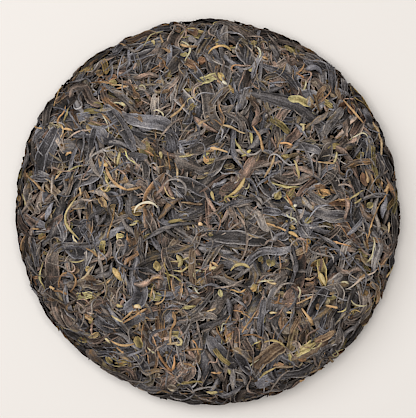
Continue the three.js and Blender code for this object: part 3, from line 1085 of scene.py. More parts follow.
def free_place(side, length, tries, inner=0.0, astray=0.28):
    """A spot and a heading where the pile is low, out of a few draws beyond an inner circle."""
    lowest, best = math.inf, None
    for _ in range(tries):
        reach = math.sqrt(draw.uniform(inner ** 2, OUTER[side] ** 2))
        angle = draw.uniform(-math.pi, math.pi)
        middle = np.array([math.cos(angle), math.sin(angle)]) * reach
        drift = sum(math.sin(line / span + start) for line, (span, start) in zip(middle, COMBED))
        heading = drift * COMBING + draw.normal(0, STRAYING)
        edgewise = smooth_step(reach, *EDGE_BAND) if side == FACE else 0.0
        if draw.uniform() < edgewise:
            heading = angle + math.pi / 2 + draw.normal(0, astray)
        way = np.array([math.cos(heading), math.sin(heading)])
        spots = middle + LOOKED_AT[:, None] * length * way
        height = piles[side][cells_at(spots)].mean()
        if height < lowest:
            lowest, best = height, (middle, heading, edgewise, reach)
    return best


def strew(kind, side, small=0.0, large=1.0, tone=(0.53, 0.1), hue=None, tries=6, curl=0.01, inner=0.0,
          warmth=(0.0, 1.0), astray=0.28, **more):
    """Lays one leaf of a kind at a free place, its size drawn between two shares of its range."""
    facts = KINDS[kind]
    share = draw.uniform(small, large)
    length = facts["length"][0] + share * (facts["length"][1] - facts["length"][0])
    width = draw.uniform(*facts["width"])
    middle, heading, edgewise, reach = free_place(side, length, tries, inner, astray)
    along_edge = 1 / reach if edgewise > 0.5 else 0.0
    # Painted shade: leaves on the shoulder, which is lit less, get less tone.
    darker = SHOULDER_SHADE * float(smooth_step(reach, *SHOULDER_BAND)) if side == FACE else 0.0
    return lay(
        facts["blanks"][draw.integers(len(facts["blanks"]))], side, middle, heading,
        (length, width, width * facts["flat"] * draw.uniform(*THICKNESSES)),
        bend=draw.normal(0, curl) + along_edge,
        sway=draw.normal(0, SWAY) * (1 + SWAY_OF_CURL * curl),
        waves=draw.uniform(*WAVES),
        phase=draw.uniform(0, math.tau),
        lanes=facts["lanes"],
        tone=float(np.clip(draw.normal(*tone) - darker, 0, 1)),
        hue=draw.uniform() if hue is None else hue,
        warmth=draw.uniform(*warmth),
        crown=kind not in SHEETS,
        **more,
    )


# %% [markdown]
# The layers are strewn from the deep one to the top, the same kinds on the face and half as many on the
# underside. The deep one has the largest leaves, a ring of leaves more goes round the shoulder, and the
# small curls and crumbs come last. A leaf whose ends dive slips under its neighbours with them.

# %% The deep layer, the shoulder, the main layer and the top
heap = {name: [] for name in (
    "rolled_leaves", "folded_leaves", "twisted_leaves", "broad_leaves", "brown_leaves", "green_leaves",
    "brown_bits", "green_bits", "stems", "pale_tips", "dark_strands", "pale_strands", "crumbs",
)}


def layer(side, recipe):
    """Strews a layer: each row of the recipe is a piece, a kind, a count and how it is laid."""
    order = [row for row in recipe for _ in range(row[2])]
    for index in draw.permutation(len(order)):
        piece, kind, _, how = order[index]
        heap[piece].append(strew(kind, side, **how))


FLAT = {"stiffness": 3.0, "dive": 0.3}
DEEP = {"small": 0.3, "tone": (0.5, 0.09), "dive": 0.4}
RIM = {"inner": RIM_BAND, "tone": (0.48, 0.09), "dive": 0.4}
MAIN = {"tone": (0.52, 0.09), "curl": 0.02}
BROWN = {"tone": (0.47, 0.09), "warmth": (0.0, 0.6)}
WARM = {"warmth": (0.55, 0.9)}
BIT = {"tone": (0.5, 0.15)}
TOP = {"large": 0.6, "dive": 0.8, "curl": 0.03}
SHARES = {FACE: 1.0, UNDER: 0.5}
for side, share in SHARES.items():
    layer(side, [
        ("broad_leaves", "broad", int(110 * share), {"small": 0.4, "tone": (0.5, 0.09), **FLAT}),
        ("rolled_leaves", "rolled", int(110 * share), DEEP),
        ("folded_leaves", "folded", int(170 * share), DEEP),
    ])
    layer(side, [
        ("rolled_leaves", "rolled", int(70 * share), RIM),
        ("folded_leaves", "folded", int(80 * share), RIM),
    ])
    layer(side, [
        ("rolled_leaves", "rolled", int(210 * share), {**MAIN, "dive": 0.7}),
        ("folded_leaves", "folded", int(264 * share), {**MAIN, "dive": 0.6}),
        ("twisted_leaves", "twisted", int(230 * share), {**MAIN, "dive": 0.7, "curl": 0.035}),
        ("broad_leaves", "broad", int(120 * share), {"tone": (0.5, 0.09), **FLAT}),
        ("brown_leaves", "broad", int(8 * share), {"large": 0.5, **BROWN, **FLAT}),
        ("brown_leaves", "folded", int(26 * share), {"large": 0.6, **BROWN}),
        ("green_leaves", "broad", int(4 * share), {"large": 0.2, **WARM, **FLAT}),
        ("green_leaves", "folded", int(14 * share), {"large": 0.6, **WARM, "dive": 0.6}),
        ("brown_bits", "bit", int(120 * share), BIT),
        ("green_bits", "bit", int(70 * share), {**BIT, **WARM}),
        ("stems", "stem", int(70 * share), {"tone": (0.4, 0.2), "curl": 0.008}),
        ("crumbs", "crumb", int(400 * share), {}),
    ])
    layer(side, [
        ("twisted_leaves", "twisted", int(200 * share), {"large": 0.7, "dive": 0.8, "curl": 0.055}),
        ("rolled_leaves", "rolled", int(90 * share), TOP),
        ("folded_leaves", "folded", int(130 * share), TOP),
        ("dark_strands", "strand", int(190 * share), {"dive": 0.4, "curl": 0.09}),
        ("dark_strands", "strand", int(60 * share), {"dive": 0.3, "curl": 0.2}),
        ("pale_strands", "strand", int(50 * share), {
            "tone": (0.4, 0.15),
            "dive": 0.3,
            "curl": 0.09,
            "large": 0.6,
        }),
        ("stems", "stem", int(50 * share), {"tone": (0.45, 0.2), "curl": 0.008, "large": 0.6}),
        ("pale_tips", "tip", int(12 * share), {"tone": (0.4, 0.12), "dive": 0.4, "large": 0.4}),
        ("brown_bits", "bit", int(90 * share), BIT),
        ("green_bits", "bit", int(50 * share), {**BIT, **WARM}),
        ("crumbs", "crumb", int(350 * share), {}),
    ])
print("leaves strewn:", sum(len(laid) for laid in heap.values()))

# %% [markdown]
# ## Leaves that are seen in the photograph
# The leaves that catch the eye are laid one by one, on top of the strewn ones. They stand in groups, each
# with the piece that it joins and its kind, and a later group lies over an earlier one. Each row is named
# for what it shows, and then says where it starts and where it ends in the photograph's pixels, how many
# pixels it is wide and how many it bows to the left on its way, and its tone and warmth.

# %% The leaves laid one by one
# piece and kind: name: from x, y to x, y, width, bow, tone, warmth
LAID_BY_HAND = {
    ("broad_leaves", "broad"): {
        "dark leaf at the left, main lobe": (57, 128, 39, 178, 13, -2, 0.42, 0.1),
        "dark leaf at the left, right lobe": (65, 126, 47, 176, 8, -1, 0.44, 0.1),
        "dark leaf with three folds": (105, 105, 136, 153, 12, 3, 0.46, 0.15),
        "longest dark leaf": (250, 91, 330, 130, 15, 4, 0.44, 0.25),
        "crumpled leaf, upper part": (174, 158, 201, 171, 17, 0, 0.5, 0.6),
        "crumpled leaf, lower part": (172, 180, 212, 196, 14, 2, 0.46, 0.3),
        "veined leaf at the right": (308, 318, 325, 287, 12, 2, 0.46, 0.15),
        "dark leaf low in the middle": (235, 348, 250, 374, 10, 0, 0.4, 0.1),
        "dark leaf beside it": (206, 336, 235, 366, 15, 0, 0.42, 0.2),
        "ridged dark leaf in the middle": (203, 234, 268, 240, 15, 0, 0.45, 0.3),
        "large dark leaf right of the middle": (309, 214, 353, 219, 14, 2, 0.45, 0.3),
        "ribbed leaf": (99, 131, 117, 147, 13, 0, 0.5, 0.1),
        "leaf in the dark ring": (170, 132, 174, 153, 13, 0, 0.4, 0.1),
        "dark band": (120, 158, 149, 158, 9, 1, 0.38, 0.2),
        "dark leaf at the top": (131, 60, 158, 51, 9, 0, 0.45, 0.2),
        "dark leaf right of it": (156, 64, 182, 51, 8, 0, 0.47, 0.4),
        "dark leaf above the middle": (236, 72, 240, 111, 8, 2, 0.46, 0.1),
        "round grey leaf": (66, 250, 86, 254, 14, 0, 0.42, 0.1),
        "dark leaf at the lower left": (94, 318, 113, 332, 11, 0, 0.4, 0.1),
        "dark leaf under the red stem": (117, 327, 146, 316, 10, 0, 0.38, 0.2),
        "dark leaf at the foot": (133, 353, 150, 374, 9, 0, 0.42, 0.1),
        "long dark leaf at the foot": (152, 336, 186, 361, 9, -2, 0.4, 0.1),
        "bowl of a mauve leaf": (25, 213, 64, 214, 9, -12, 0.42, 0.9),
        "long mauve leaf": (76, 314, 112, 300, 9, 1, 0.44, 0.85),
        "brown leaf near the top": (117, 73, 131, 76, 8, 0, 0.48, 0.95),
        "arching leaf, upper part": (204, 233, 168, 248, 8, 6, 0.5, 0.75),
        "arching leaf, lower part": (168, 246, 174, 304, 8, -5, 0.47, 0.75),
        "mauve leaf behind the tan stem": (317, 172, 331, 143, 13, 0, 0.42, 0.6),
        "dark leaf at the right edge": (364, 108, 372, 129, 10, 1, 0.4, 0.1),
        "oval leaf at the left": (74, 177, 79, 160, 8, 0, 0.44, 0.2),
    },
    ("folded_leaves", "folded"): {
        "mauve leaf left of the middle": (102, 231, 132, 215, 6, 2, 0.45, 0.6),
        "dark bundle": (140, 236, 144, 264, 6, 0, 0.45, 0.4),
        "dark leaf right of the middle": (205, 223, 257, 196, 6, 3, 0.42, 0.2),
        "dark leaf beside the ribs": (97, 127, 92, 151, 7, 0, 0.45, 0.1),
        "dark leaf at the lower right": (259, 338, 262, 298, 7, 0, 0.42, 0.1),
        "dark leaf above the longest one": (263, 64, 300, 90, 7, 1, 0.45, 0.15),
        "mauve curve under the tan stem": (320, 186, 338, 160, 5.5, -3, 0.5, 0.6),
    },
    ("brown_leaves", "torn"): {
        "torn leaf at the foot": (254, 366, 283, 342, 15, 2, 0.5, 0.6),
        "torn leaf at the left": (50, 183, 60, 195, 9, 0, 0.6, 0.5),
        "crumpled pale leaf": (131, 112, 146, 121, 8, 0, 0.6, 0.7),
        "speckled leaf": (137, 149, 150, 141, 8, 0, 0.72, 0.7),
        "square leaf at the top": (186, 62, 200, 71, 9, 0, 0.5, 0.82),
    },
    ("brown_leaves", "broad"): {
        "rust leaf at the top": (186, 28, 198, 35, 8, 0, 0.45, 0.85),
        "brown foot of the longest leaf": (249, 90, 256, 108, 9, 0, 0.5, 0.4),
        "yellow brown leaf at the foot": (292, 361, 336, 331, 10, 2, 0.55, 0.5),
    },
    ("green_leaves", "broad"): {
        "yellow leaf at the upper right": (288, 97, 311, 104, 8.5, -1, 0.85, 0.6),
    },
    ("green_leaves", "torn"): {
        "pale green leaf at the top": (198, 84, 217, 77, 9, 0, 0.85, 0.5),
        "torn yellow leaf": (294, 352, 316, 338, 9, 0, 0.72, 0.7),
        "green ball": (149, 292, 161, 299, 10, 0, 0.55, 0.5),
        "pale leaf under the bow": (76, 297, 93, 295, 8, 1, 0.72, 0.5),
        "olive leaf near the right edge": (373, 146, 377, 181, 6, 0, 0.35, 0.7),
        "olive leaf at the upper left": (75, 75, 93, 66, 7, 0, 0.4, 0.9),
    },
    ("brown_leaves", "folded"): {
        "olive leaf inside the arch": (195, 287, 193, 248, 8, 2, 0.47, 0.5),
        "tan leaf in the middle": (293, 255, 308, 236, 7, -2, 0.7, 0.6),
        "tan curved leaf": (369, 280, 376, 304, 6, 3, 0.75, 0.75),
        "brown leaf left of the folds": (74, 110, 80, 131, 6, 0, 0.42, 0.75),
        "grey tan leaf at the left": (62, 151, 73, 145, 5, 0, 0.6, 0.5),
        "tan leaf above the ring": (157, 92, 171, 92, 4, 0, 0.55, 0.7),
        "pink leaf above the ring": (180, 98, 184, 112, 5, 0, 0.5, 0.8),
        "tan leaf at the left edge": (56, 103, 68, 96, 6, 0, 0.5, 0.75),
        "tan leaf at the right edge": (377, 270, 387, 257, 5, 0, 0.65, 0.75),
        "tan leaf at the upper right": (337, 80, 339, 100, 5, 0, 0.55, 0.6),
        "brown fold at the upper right": (315, 100, 325, 86, 6, 0, 0.5, 0.7),
        "red leaf right of the middle": (307, 190, 325, 186, 4.6, 0, 0.5, 0.85),
        "mauve leaf right of the middle": (328, 206, 350, 206, 6, 3, 0.4, 0.8),
        "red leaf at the foot": (156, 316, 161, 338, 5, 0, 0.45, 0.85),
        "tan end of the yellow leaf": (314, 341, 334, 331, 7, 2, 0.65, 0.75),
        "tan bar at the lower right": (289, 331, 302, 309, 5, 0, 0.6, 0.75),
    },
    ("green_leaves", "folded"): {
        "olive hooked leaf": (80, 115, 101, 111, 6, 0, 0.45, 0.7),
        "pale olive leaf": (318, 258, 322, 284, 10, 0, 0.6, 0.8),
        "olive leaf in the dark one": (211, 344, 229, 363, 5, 0, 0.42, 0.8),
        "olive bud at the left": (104, 240, 103, 255, 6, 0, 0.65, 0.7),
        "olive leaf near the top": (104, 59, 107, 75, 7, 0, 0.45, 0.9),
        "olive leaf under the longest one": (269, 117, 289, 133, 7, 0, 0.42, 0.7),
        "olive leaf above the ring": (188, 112, 197, 104, 5, 0, 0.5, 0.8),
        "pale leaf at the upper right": (323, 100, 334, 108, 6, 0, 0.62, 0.7),
        "orange leaf near the top": (227, 86, 235, 94, 4.6, 0, 0.75, 1),
    },
    ("brown_bits", "bit"): {
        "orange bit under the tan stem": (119, 91, 126, 95, 4.4, 0, 0.54, 0.72),
        "orange bit at the top edge": (152, 32, 159, 33, 3.5, 0, 0.59, 0.78),
        "orange bit near the top": (155, 82, 164, 83, 3.5, 0, 0.64, 0.67),
        "red bit beside the knotted stem": (121, 173, 130, 172, 4.4, 0, 0.44, 0.78),
        "orange bit beside the knotted stem": (120, 183, 130, 181, 3.5, 0, 0.69, 0.67),
        "orange bit above the middle": (205, 119, 211, 115, 3, 0, 0.74, 0.72),
        "orange bit right of the middle": (284, 146, 292, 148, 3.5, 0, 0.64, 0.78),
        "orange bit at the upper right": (302, 71, 310, 70, 4.4, 0, 0.64, 0.78),
        "red bit at the upper right edge": (304, 46, 312, 51, 3.5, 0, 0.64, 0.78),
        "brown bit at the upper right edge": (311, 62, 319, 60, 3.2, 0, 0.54, 0.67),
        "red bit at the left edge": (32, 278, 41, 277, 3.5, 0, 0.54, 0.78),
        "brown bit at the left edge": (45, 297, 55, 301, 3.5, 0, 0.44, 0.72),
        "orange bit under the pale spot": (131, 313, 139, 311, 3.5, 0, 0.59, 0.78),
        "red bit at the bottom edge": (196, 399, 207, 398, 3.5, 0, 0.39, 0.78),
        "red bit at the lower right": (279, 311, 287, 323, 4.4, 0, 0.54, 0.75),
        "orange bit at the right": (333, 272, 330, 285, 3, 0, 0.59, 0.67),
        "orange bit near the bottom": (234, 378, 248, 379, 2.6, 0, 0.69, 0.67),
        "orange bit near the crown": (217, 81, 221, 86, 3, 0, 0.69, 0.78),
    },
    ("green_bits", "bit"): {
        "yellow end of the olive leaf": (88, 72, 93, 67, 3, 0, 0.7, 0.7),
        "yellow bit at the top": (180, 56, 188, 55, 5, 0, 0.75, 0.7),
        "yellow bit in the ring": (189, 143, 194, 140, 3, 0, 0.7, 0.6),
        "yellow bit left of the middle": (117, 235, 125, 236, 5, 0, 1.0, 0.7),
        "yellow bit beside it": (116, 230, 119, 240, 3, 0, 0.95, 0.7),
        "olive bit at the top": (248, 43, 257, 43, 5, 0, 0.55, 0.7),
        "olive bit at the top edge": (284, 46, 295, 51, 6, 0, 0.45, 0.7),
        "olive bit above the middle": (247, 70, 254, 72, 4, 0, 0.65, 0.6),
        "green bud in the middle": (219, 288, 221, 296, 5, 0, 0.8, 0.5),
        "yellow bit at the bottom": (227, 366, 230, 373, 4, 0, 0.75, 0.6),
        "yellow corner of the torn leaf": (287, 346, 290, 364, 4, 0, 0.75, 0.7),
    },
    ("twisted_leaves", "twisted"): {
        "long curved strand above the middle": (154, 150, 184, 213, 3.2, -12, 0.5, 0.3),
        "arch right of the middle": (236, 208, 261, 218, 3.4, 14, 0.5, 0.5),
        "grey strand beside the mauve leaf": (298, 143, 313, 177, 3, 4, 0.6, 0.3),
        "upright strand at the left": (73, 111, 86, 164, 3, 3, 0.55, 0.2),
        "grey loop at the right": (346, 177, 352, 193, 2.6, -6, 0.6, 0.3),
        "left half of the dark ring": (161, 153, 190, 121, 3, 12, 0.6, 0.7),
        "right half of the dark ring": (193, 119, 181, 152, 3.2, 11, 0.5, 0.2),
        "arched strand at the top": (218, 40, 245, 41, 3, 7, 0.65, 0.2),
        "hooked strand above the middle": (273, 109, 256, 121, 2.6, -3, 0.6, 0.8),
        "tan strand at the left": (79, 199, 98, 201, 3, 0, 0.7, 0.7),
        "fork at the lower left, left arm": (59, 303, 67, 328, 3, -2, 0.55, 0.7),
        "fork at the lower left, right arm": (78, 312, 69, 328, 3, 2, 0.5, 0.7),
        "silver strand to the olive bud": (162, 309, 184, 307, 3.4, 1, 0.65, 0.1),
        "tan strand left of the middle": (118, 259, 136, 248, 4, 0, 0.6, 0.75),
        "long strand left of the middle": (141, 242, 198, 222, 5, 4, 0.45, 0.3),
        "dark hook": (235, 215, 231, 265, 3.4, 14, 0.6, 0.75),
        "dark slanting leaf": (293, 244, 286, 290, 6, 2, 0.45, 0.2),
        "dark slanting leaf above it": (290, 218, 281, 240, 4.5, 0, 0.45, 0.2),
    },
    ("green_leaves", "twisted"): {
        "hook of the olive leaf": (94, 107, 101, 114, 3, 6, 0.5, 0.7),
        "yellow strip at the left": (65, 123, 71, 109, 3, 0, 0.6, 0.7),
        "stalk under the knot": (105, 170, 111, 190, 3.6, 1, 0.75, 0.7),
        "hook of the stalk": (104, 188, 112, 188, 2.4, -3, 0.55, 0.7),
        "olive strand above the middle": (235, 139, 245, 154, 3.2, -2, 0.65, 0.6),
        "olive twist": (270, 182, 299, 187, 3.4, -2, 0.78, 0.6),
        "olive twist at the left": (43, 261, 44, 290, 3.4, -2, 0.72, 0.6),
        "olive edge of the arching leaf": (165, 262, 171, 290, 3, -1, 0.5, 0.8),
        "olive bud under the middle": (182, 308, 196, 305, 4, 0, 0.65, 0.6),
        "olive arc at the bottom": (178, 387, 203, 383, 3, 5, 0.5, 0.8),
    },
    ("dark_strands", "strand"): {
        "brown strand at the left": (65, 140, 94, 128, 2.2, -1, 0.7, 0.8),
        "silver curl at the upper left": (75, 104, 84, 106, 2, -5, 0.75, 0.2),
        "red strand at the top": (172, 27, 183, 40, 2.6, 8, 0.5, 0.85),
        "pink strand left of the stalk": (80, 180, 94, 176, 2, -1, 0.6, 0.85),
        "strand under the silver curl": (258, 58, 237, 72, 2.4, 3, 0.6, 0.3),
        "strand from the olive one": (244, 154, 262, 150, 2.4, -2, 0.7, 0.5),
        "ring at the middle": (164, 187, 185, 197, 3, 12, 0.6, 0.5),
        "long pale strand at the right": (343, 286, 374, 267, 2.2, -4, 0.9, 0.7),
        "brown strand in the middle": (213, 289, 247, 279, 2.2, 1, 0.6, 0.75),
        "thin strand at the right": (312, 240, 301, 226, 1.8, 2, 0.7, 0.4),
        "curl left of the right stem": (321, 250, 331, 262, 2, 4, 0.7, 0.4),
        "bow under the olive leaf": (273, 300, 295, 284, 2, 9, 0.6, 0.6),
    },
    ("stems", "stem"): {
        "tan stem at the upper left": (90, 83, 113, 84, 2.4, 0, 0.49, 0.72),
        "bright end of the tan stem": (111, 85, 129, 87.5, 3, 0, 0.79, 0.55),
        "knotted stem, above the knot": (104, 158, 108, 165, 2.4, 0, 0.44, 0.78),
        "knotted stem, below the knot": (108, 168, 128, 190, 3.2, -4, 0.6, 0.75),
        "knotted stem, its end": (126, 190, 142, 187, 2.6, -1, 0.54, 0.67),
        "stem near the left edge": (27, 172, 47, 191, 3, -2, 0.66, 0.67),
        "orange bit at the left": (67, 156, 74, 153, 3, 0, 0.79, 0.75),
        "stalk at the left": (57, 180, 67, 168, 2.6, 0, 0.64, 0.55),
        "upright stem at the left": (81, 187, 83, 196, 2.6, 0, 0.74, 0.55),
        "stem over the left edge": (33, 126, 46, 130, 2.5, 0, 0.59, 0.61),
        "stem over the upper left edge": (117, 43, 128, 47, 2.4, 0, 0.44, 0.4),
        "short stem at the top": (160, 34, 163, 43, 2.6, 0, 0.64, 0.55),
        "tan stem at the top": (162, 49, 171, 54, 3, 0, 0.54, 0.55),
        "orange stem at the top": (180, 45, 198, 48, 2.5, -1, 0.64, 0.67),
        "red stem left of the ring": (145, 151, 155, 157, 2.6, 0, 0.39, 0.78),
        "thin red stem": (168, 153, 171, 171, 2.2, 0, 0.44, 0.78),
        "stem above the middle": (253, 126, 263, 151, 3.3, 1, 0.66, 0.75),
        "bright stem near the middle": (209, 148, 229, 153, 3.5, 0, 0.95, 0.7),
        "tan stem beside it": (275, 153, 264, 178, 2.8, 1, 0.66, 0.5),
        "orange stem right of the middle": (279, 143, 292, 145, 3, 0, 0.74, 0.88),
        "short red stem": (286, 194, 292, 206, 3, 0, 0.5, 0.95),
        "short tan stem": (317, 162, 334, 163.5, 2.6, 0, 0.69, 0.55),
        "upright stem at the right": (366, 171, 368, 183, 3.3, 0, 0.64, 0.55),
        "stem along the right edge": (374, 121, 383, 155, 2.8, 2, 0.69, 0.4),
        "brown stem at the upper right": (343, 100, 363, 123, 2.5, 0, 0.59, 0.72),
        "long tan stick": (388, 186, 363, 241, 3, 2, 0.58, 0.67),
        "knob of the stick": (389, 184, 386, 192, 3.9, 0, 0.79, 0.75),
        "jointed stem, upper part": (174, 311, 172, 330, 4.8, 1, 0.54, 0.72),
        "jointed stem, lower part": (171, 327, 170, 345, 2.8, 0, 0.74, 0.61),
        "fork at the foot, left arm": (158, 351, 172, 371, 3.5, -2, 0.44, 0.9),
        "fork at the foot, right arm": (175, 355, 173, 371, 3.3, 0, 0.52, 0.85),
        "orange stem at the foot": (183, 362, 196, 366, 3, 0, 0.64, 0.78),
        "tan stem at the foot": (181, 351, 203, 348, 2.6, 1, 0.54, 0.67),
        "red stem at the lower left": (147, 309, 123, 324, 2.6, -1, 0.49, 0.78),
        "tan stem beside the red one": (134, 309, 122, 321, 2.6, 0, 0.59, 0.67),
        "curved tan stem": (166, 289, 152, 306, 2.6, 4, 0.74, 0.61),
        "short stem by the arch": (150, 281, 160, 277, 2.6, 1, 0.59, 0.67),
        "orange spot left of the middle": (107, 283, 111, 279, 2.6, 0, 0.79, 0.72),
        "brown bow": (56, 287, 73, 294, 2.6, 17, 0.49, 0.72),
        "bright end by the bow": (50, 286, 55, 289, 3.5, 0, 0.79, 0.67),
        "stem in the bow": (54, 290, 68, 293, 2.6, 0, 0.44, 0.78),
        "edge of the brown bowl": (30, 228, 40, 229, 2.4, 0, 0.59, 0.72),
        "pink stem left of the middle": (87, 247, 99, 256, 2.6, 0, 0.64, 0.72),
        "orange stem at the lower left": (83, 316, 92, 321, 3, 0, 0.64, 0.67),
        "long stem at the lower left": (110, 341, 134, 344, 2.6, -3, 0.59, 0.67),
        "orange end under it": (116, 348, 124, 354, 2.6, 0, 0.64, 0.78),
        "brightest stem": (265, 223, 287, 232, 2.6, 1, 0.72, 0.75),
        "stem at the right": (331, 241, 350, 246, 3, 0, 0.64, 0.85),
        "red stem at the lower right": (269, 299, 292, 303, 2.4, 0, 0.44, 0.75),
        "its bright end": (295, 302, 311, 295, 2.4, 0, 0.64, 0.64),
        "orange stem at the lower right": (300, 306, 311, 322, 3.7, 0, 0.69, 0.69),
        "brown stem in the middle": (257, 309, 242, 331, 2.8, -1, 0.56, 0.72),
        "red stem under it": (242, 332, 263, 335, 2.4, 0, 0.39, 0.78),
        "left post of the orange gate": (210, 270, 211, 261, 2.6, 0, 0.84, 0.69),
        "top of the orange gate": (210, 261, 218, 265, 2.8, 0, 0.79, 0.75),
        "orange bits under the middle": (241, 310, 251, 316, 2.6, -1, 0.74, 0.67),
        "orange bit at the right": (357, 278, 364, 274, 3, 0, 0.74, 0.75),
        "stem at the lower edge": (298, 379, 308, 382, 3, 0, 0.62, 0.78),
        "pink stem at the bottom": (211, 371, 222, 370, 2.5, 0, 0.59, 0.78),
    },
    ("pale_strands", "strand"): {
        "cream arch": (136, 214, 158, 209, 2.7, 9, 0.95, 0.6),
        "pale hook": (154, 113, 163, 118, 2, 4, 0.6, 0.5),
        "pale strand in the ring": (166, 187, 177, 199, 2.2, -3, 0.5, 0.8),
        "yellow strand under the ring": (177, 156, 194, 154, 2.2, -2, 0.3, 0.5),
        "yellow strand at the right": (349, 201, 364, 191, 2.4, 2, 0.25, 0.5),
        "yellow strand below it": (352, 204, 362, 197, 2, -1, 0.2, 0.5),
        "cream curl right of the middle": (292, 160, 297, 179, 2.8, 3, 0.35, 0.6),
        "pale end at the right": (336, 152, 333, 163, 2.8, 1, 0.45, 0.5),
        "silver strand at the upper right": (306, 79, 303, 91, 2.2, 1, 0.45, 0.3),
        "tan curl at the top": (209, 56, 231, 52, 2.8, 7, 0.28, 0.8),
        "silver curl at the top": (254, 47, 258, 59, 2.4, 4, 0.6, 0.2),
        "long yellow strand": (75, 195, 78, 242, 3, -7, 0.35, 0.6),
        "pale end of the yellow strand": (73, 234, 78, 243, 2.2, 0, 0.6, 0.5),
        "rim of the round grey leaf": (70, 260, 85, 259, 1.8, -2, 0.3, 0.5),
        "foot of the bright bud": (173, 271, 189, 267, 2.4, -1, 0.32, 0.5),
        "arm of the bright bud": (170, 261, 190, 256, 1.8, -2, 0.3, 0.5),
        "cream bits at the lower left": (112, 315, 123, 322, 2.4, -1, 0.45, 0.6),
        "pale curl, upper half": (173, 339, 180, 345, 2.6, 5, 0.35, 0.5),
        "pale curl, lower half": (175, 343, 180, 337, 2.4, -4, 0.4, 0.5),
        "silver strand at the foot": (147, 348, 155, 354, 1.8, 0, 0.45, 0.3),
        "yellow arch": (230, 270, 249, 267, 3.4, 5, 0.32, 0.6),
        "silver strand at the right": (371, 237, 364, 261, 2.2, 6, 0.5, 0.3),
        "silver strand, middle": (294, 282, 297, 297, 1.9, 2, 0.5, 0.3),
        "silver strand, lower right": (349, 298, 365, 303, 2.1, -4, 0.5, 0.3),
        "silver strand by the orange bit": (339, 281, 347, 283, 2.2, 1, 0.5, 0.3),
        "silver strand under the middle": (256, 282, 274, 280, 1.9, 2, 0.45, 0.3),
        "tan rim of the torn leaf": (263, 340, 284, 346, 2.6, 4, 0.3, 0.7),
        "tan strand at the foot": (259, 376, 275, 365, 2.4, 1, 0.28, 0.7),
    },
    ("pale_tips", "tip"): {
        "pale rimmed leaf": (113, 267, 122, 281, 6, 0, 0.3, 0.8),
        "knot of the knotted stem": (106, 164, 110, 167, 4.4, 0, 0.45, 0.95),
        "yellow bud": (245, 177, 226, 197, 4, 3, 0.32, 0.8),
        "olive bud in the middle": (211, 191, 214, 201, 3.4, 0, 0.3, 0.6),
        "white bit at the top": (222, 82, 227, 86, 3, 0, 0.9, 0.5),
        "pale bit at the top": (152, 40, 155, 46, 3.4, 0, 0.35, 0.6),
        "pale bit by the folds": (121, 103, 127, 107, 2.6, 0, 0.5, 0.6),
        "yellow bit under the ring": (161, 152, 162, 160, 3.4, 0, 0.35, 0.6),
        "pale spot": (133, 306, 142, 308, 4.4, 0, 0.6, 0.85),
        "pale spot left of it": (116, 305, 123, 307, 3.6, 0, 0.3, 0.6),
        "pale bud in the middle": (168, 222, 186, 219, 3.8, 0, 0.1, 0.6),
        "pink spot in the middle": (198, 223, 203, 225, 4, 0, 0.6, 0.9),
        "bright bud": (178, 253, 180, 270, 5.5, 0, 0.28, 0.5),
        "pale bit right of the middle": (303, 125, 302, 133, 2.8, 0, 0.5, 0.6),
        "pale bar over it": (299, 125, 306, 125, 2.4, 0, 0.5, 0.6),
        "white spot by the red stem": (293, 206, 297, 205, 3, 0, 0.9, 0.5),
        "yellow end of the brightest stem": (287, 231, 298, 237, 4, 0, 0.35, 0.9),
        "foot of the pale olive leaf": (317, 271, 324, 285, 4.6, 0, 0.35, 0.6),
        "pale bit at the lower left": (104, 338, 110, 344, 2.6, 0, 0.5, 0.6),
        "pale bit under the middle": (268, 311, 276, 311, 2.6, 0, 0.45, 0.7),
        "pale bit right of it": (284, 310, 291, 311, 2.4, 0, 0.4, 0.8),
        "spot of the torn yellow leaf": (298, 349, 314, 340, 4.4, 0, 0.3, 0.6),
        "yellow end at the right edge": (386, 279, 393, 265, 2.8, 0, 0.25, 0.8),
    },
}


# %% Lay them from pixel to pixel
HAND_SWAY = 0.2
HAND_HUE = 0.3  # low, so that a listed leaf has few stains
HAND_STIFFNESS = 4.0
STEM_DIVE, LEAF_DIVE = 0.6, 0.3
MEAN_BOW = 2 / 3  # an arc's mean distance from its chord, as a share of its greatest


def arc(reach, rise):
    """The angle that an arc turns through and its length, from its chord's length and how far it bows."""
    if rise == 0:
        return 0.0, reach
    turned = 4 * math.atan(2 * rise / reach)
    return turned, reach * (turned / 2) / math.sin(turned / 2)


def by_hand(number, kind, row):
    """Lays a leaf from one pixel of the photograph to another, on an arc with the given bow."""
    *ends, width, bow, tone, warmth = row
    first, last = (
        map_of((x - CAKE_CENTRE[0]) * PIXEL, (CAKE_CENTRE[1] - y) * PIXEL) for x, y in (ends[:2], ends[2:])
    )
    chord = last - first
    heading = math.atan2(chord[1], chord[0])
    left = np.array([-math.sin(heading), math.cos(heading)])
    rise = bow * PIXEL
    turned, length = arc(math.hypot(*chord), rise)
    facts = KINDS[kind]
    return lay(
        facts["blanks"][number % len(facts["blanks"])],
        FACE,
        (first + last) / 2 + left * rise * MEAN_BOW,
        heading,
        (length, width * PIXEL, width * PIXEL * facts["flat"]),
        bend=-turned / length,
        sway=draw.normal(0, HAND_SWAY),
        lanes=facts["lanes"],
        tone=tone,
        hue=HAND_HUE,
        warmth=warmth,
        dive=STEM_DIVE if kind == "stem" else LEAF_DIVE,
        stiffness=HAND_STIFFNESS,
        crown=kind not in SHEETS,
    )


number = 0
for (piece, kind), rows in LAID_BY_HAND.items():
    for row in rows.values():
        heap[piece].append(by_hand(number, kind, row))
        number += 1
print(number, "leaves laid by hand")

# %% [markdown]
# A pressed cake isn't trimmed, so the ends of some leaves stand loose round its edge. Thin strands, short
# twisted leaves and crumbs then fall on everything, also on the leaves that were laid one by one.

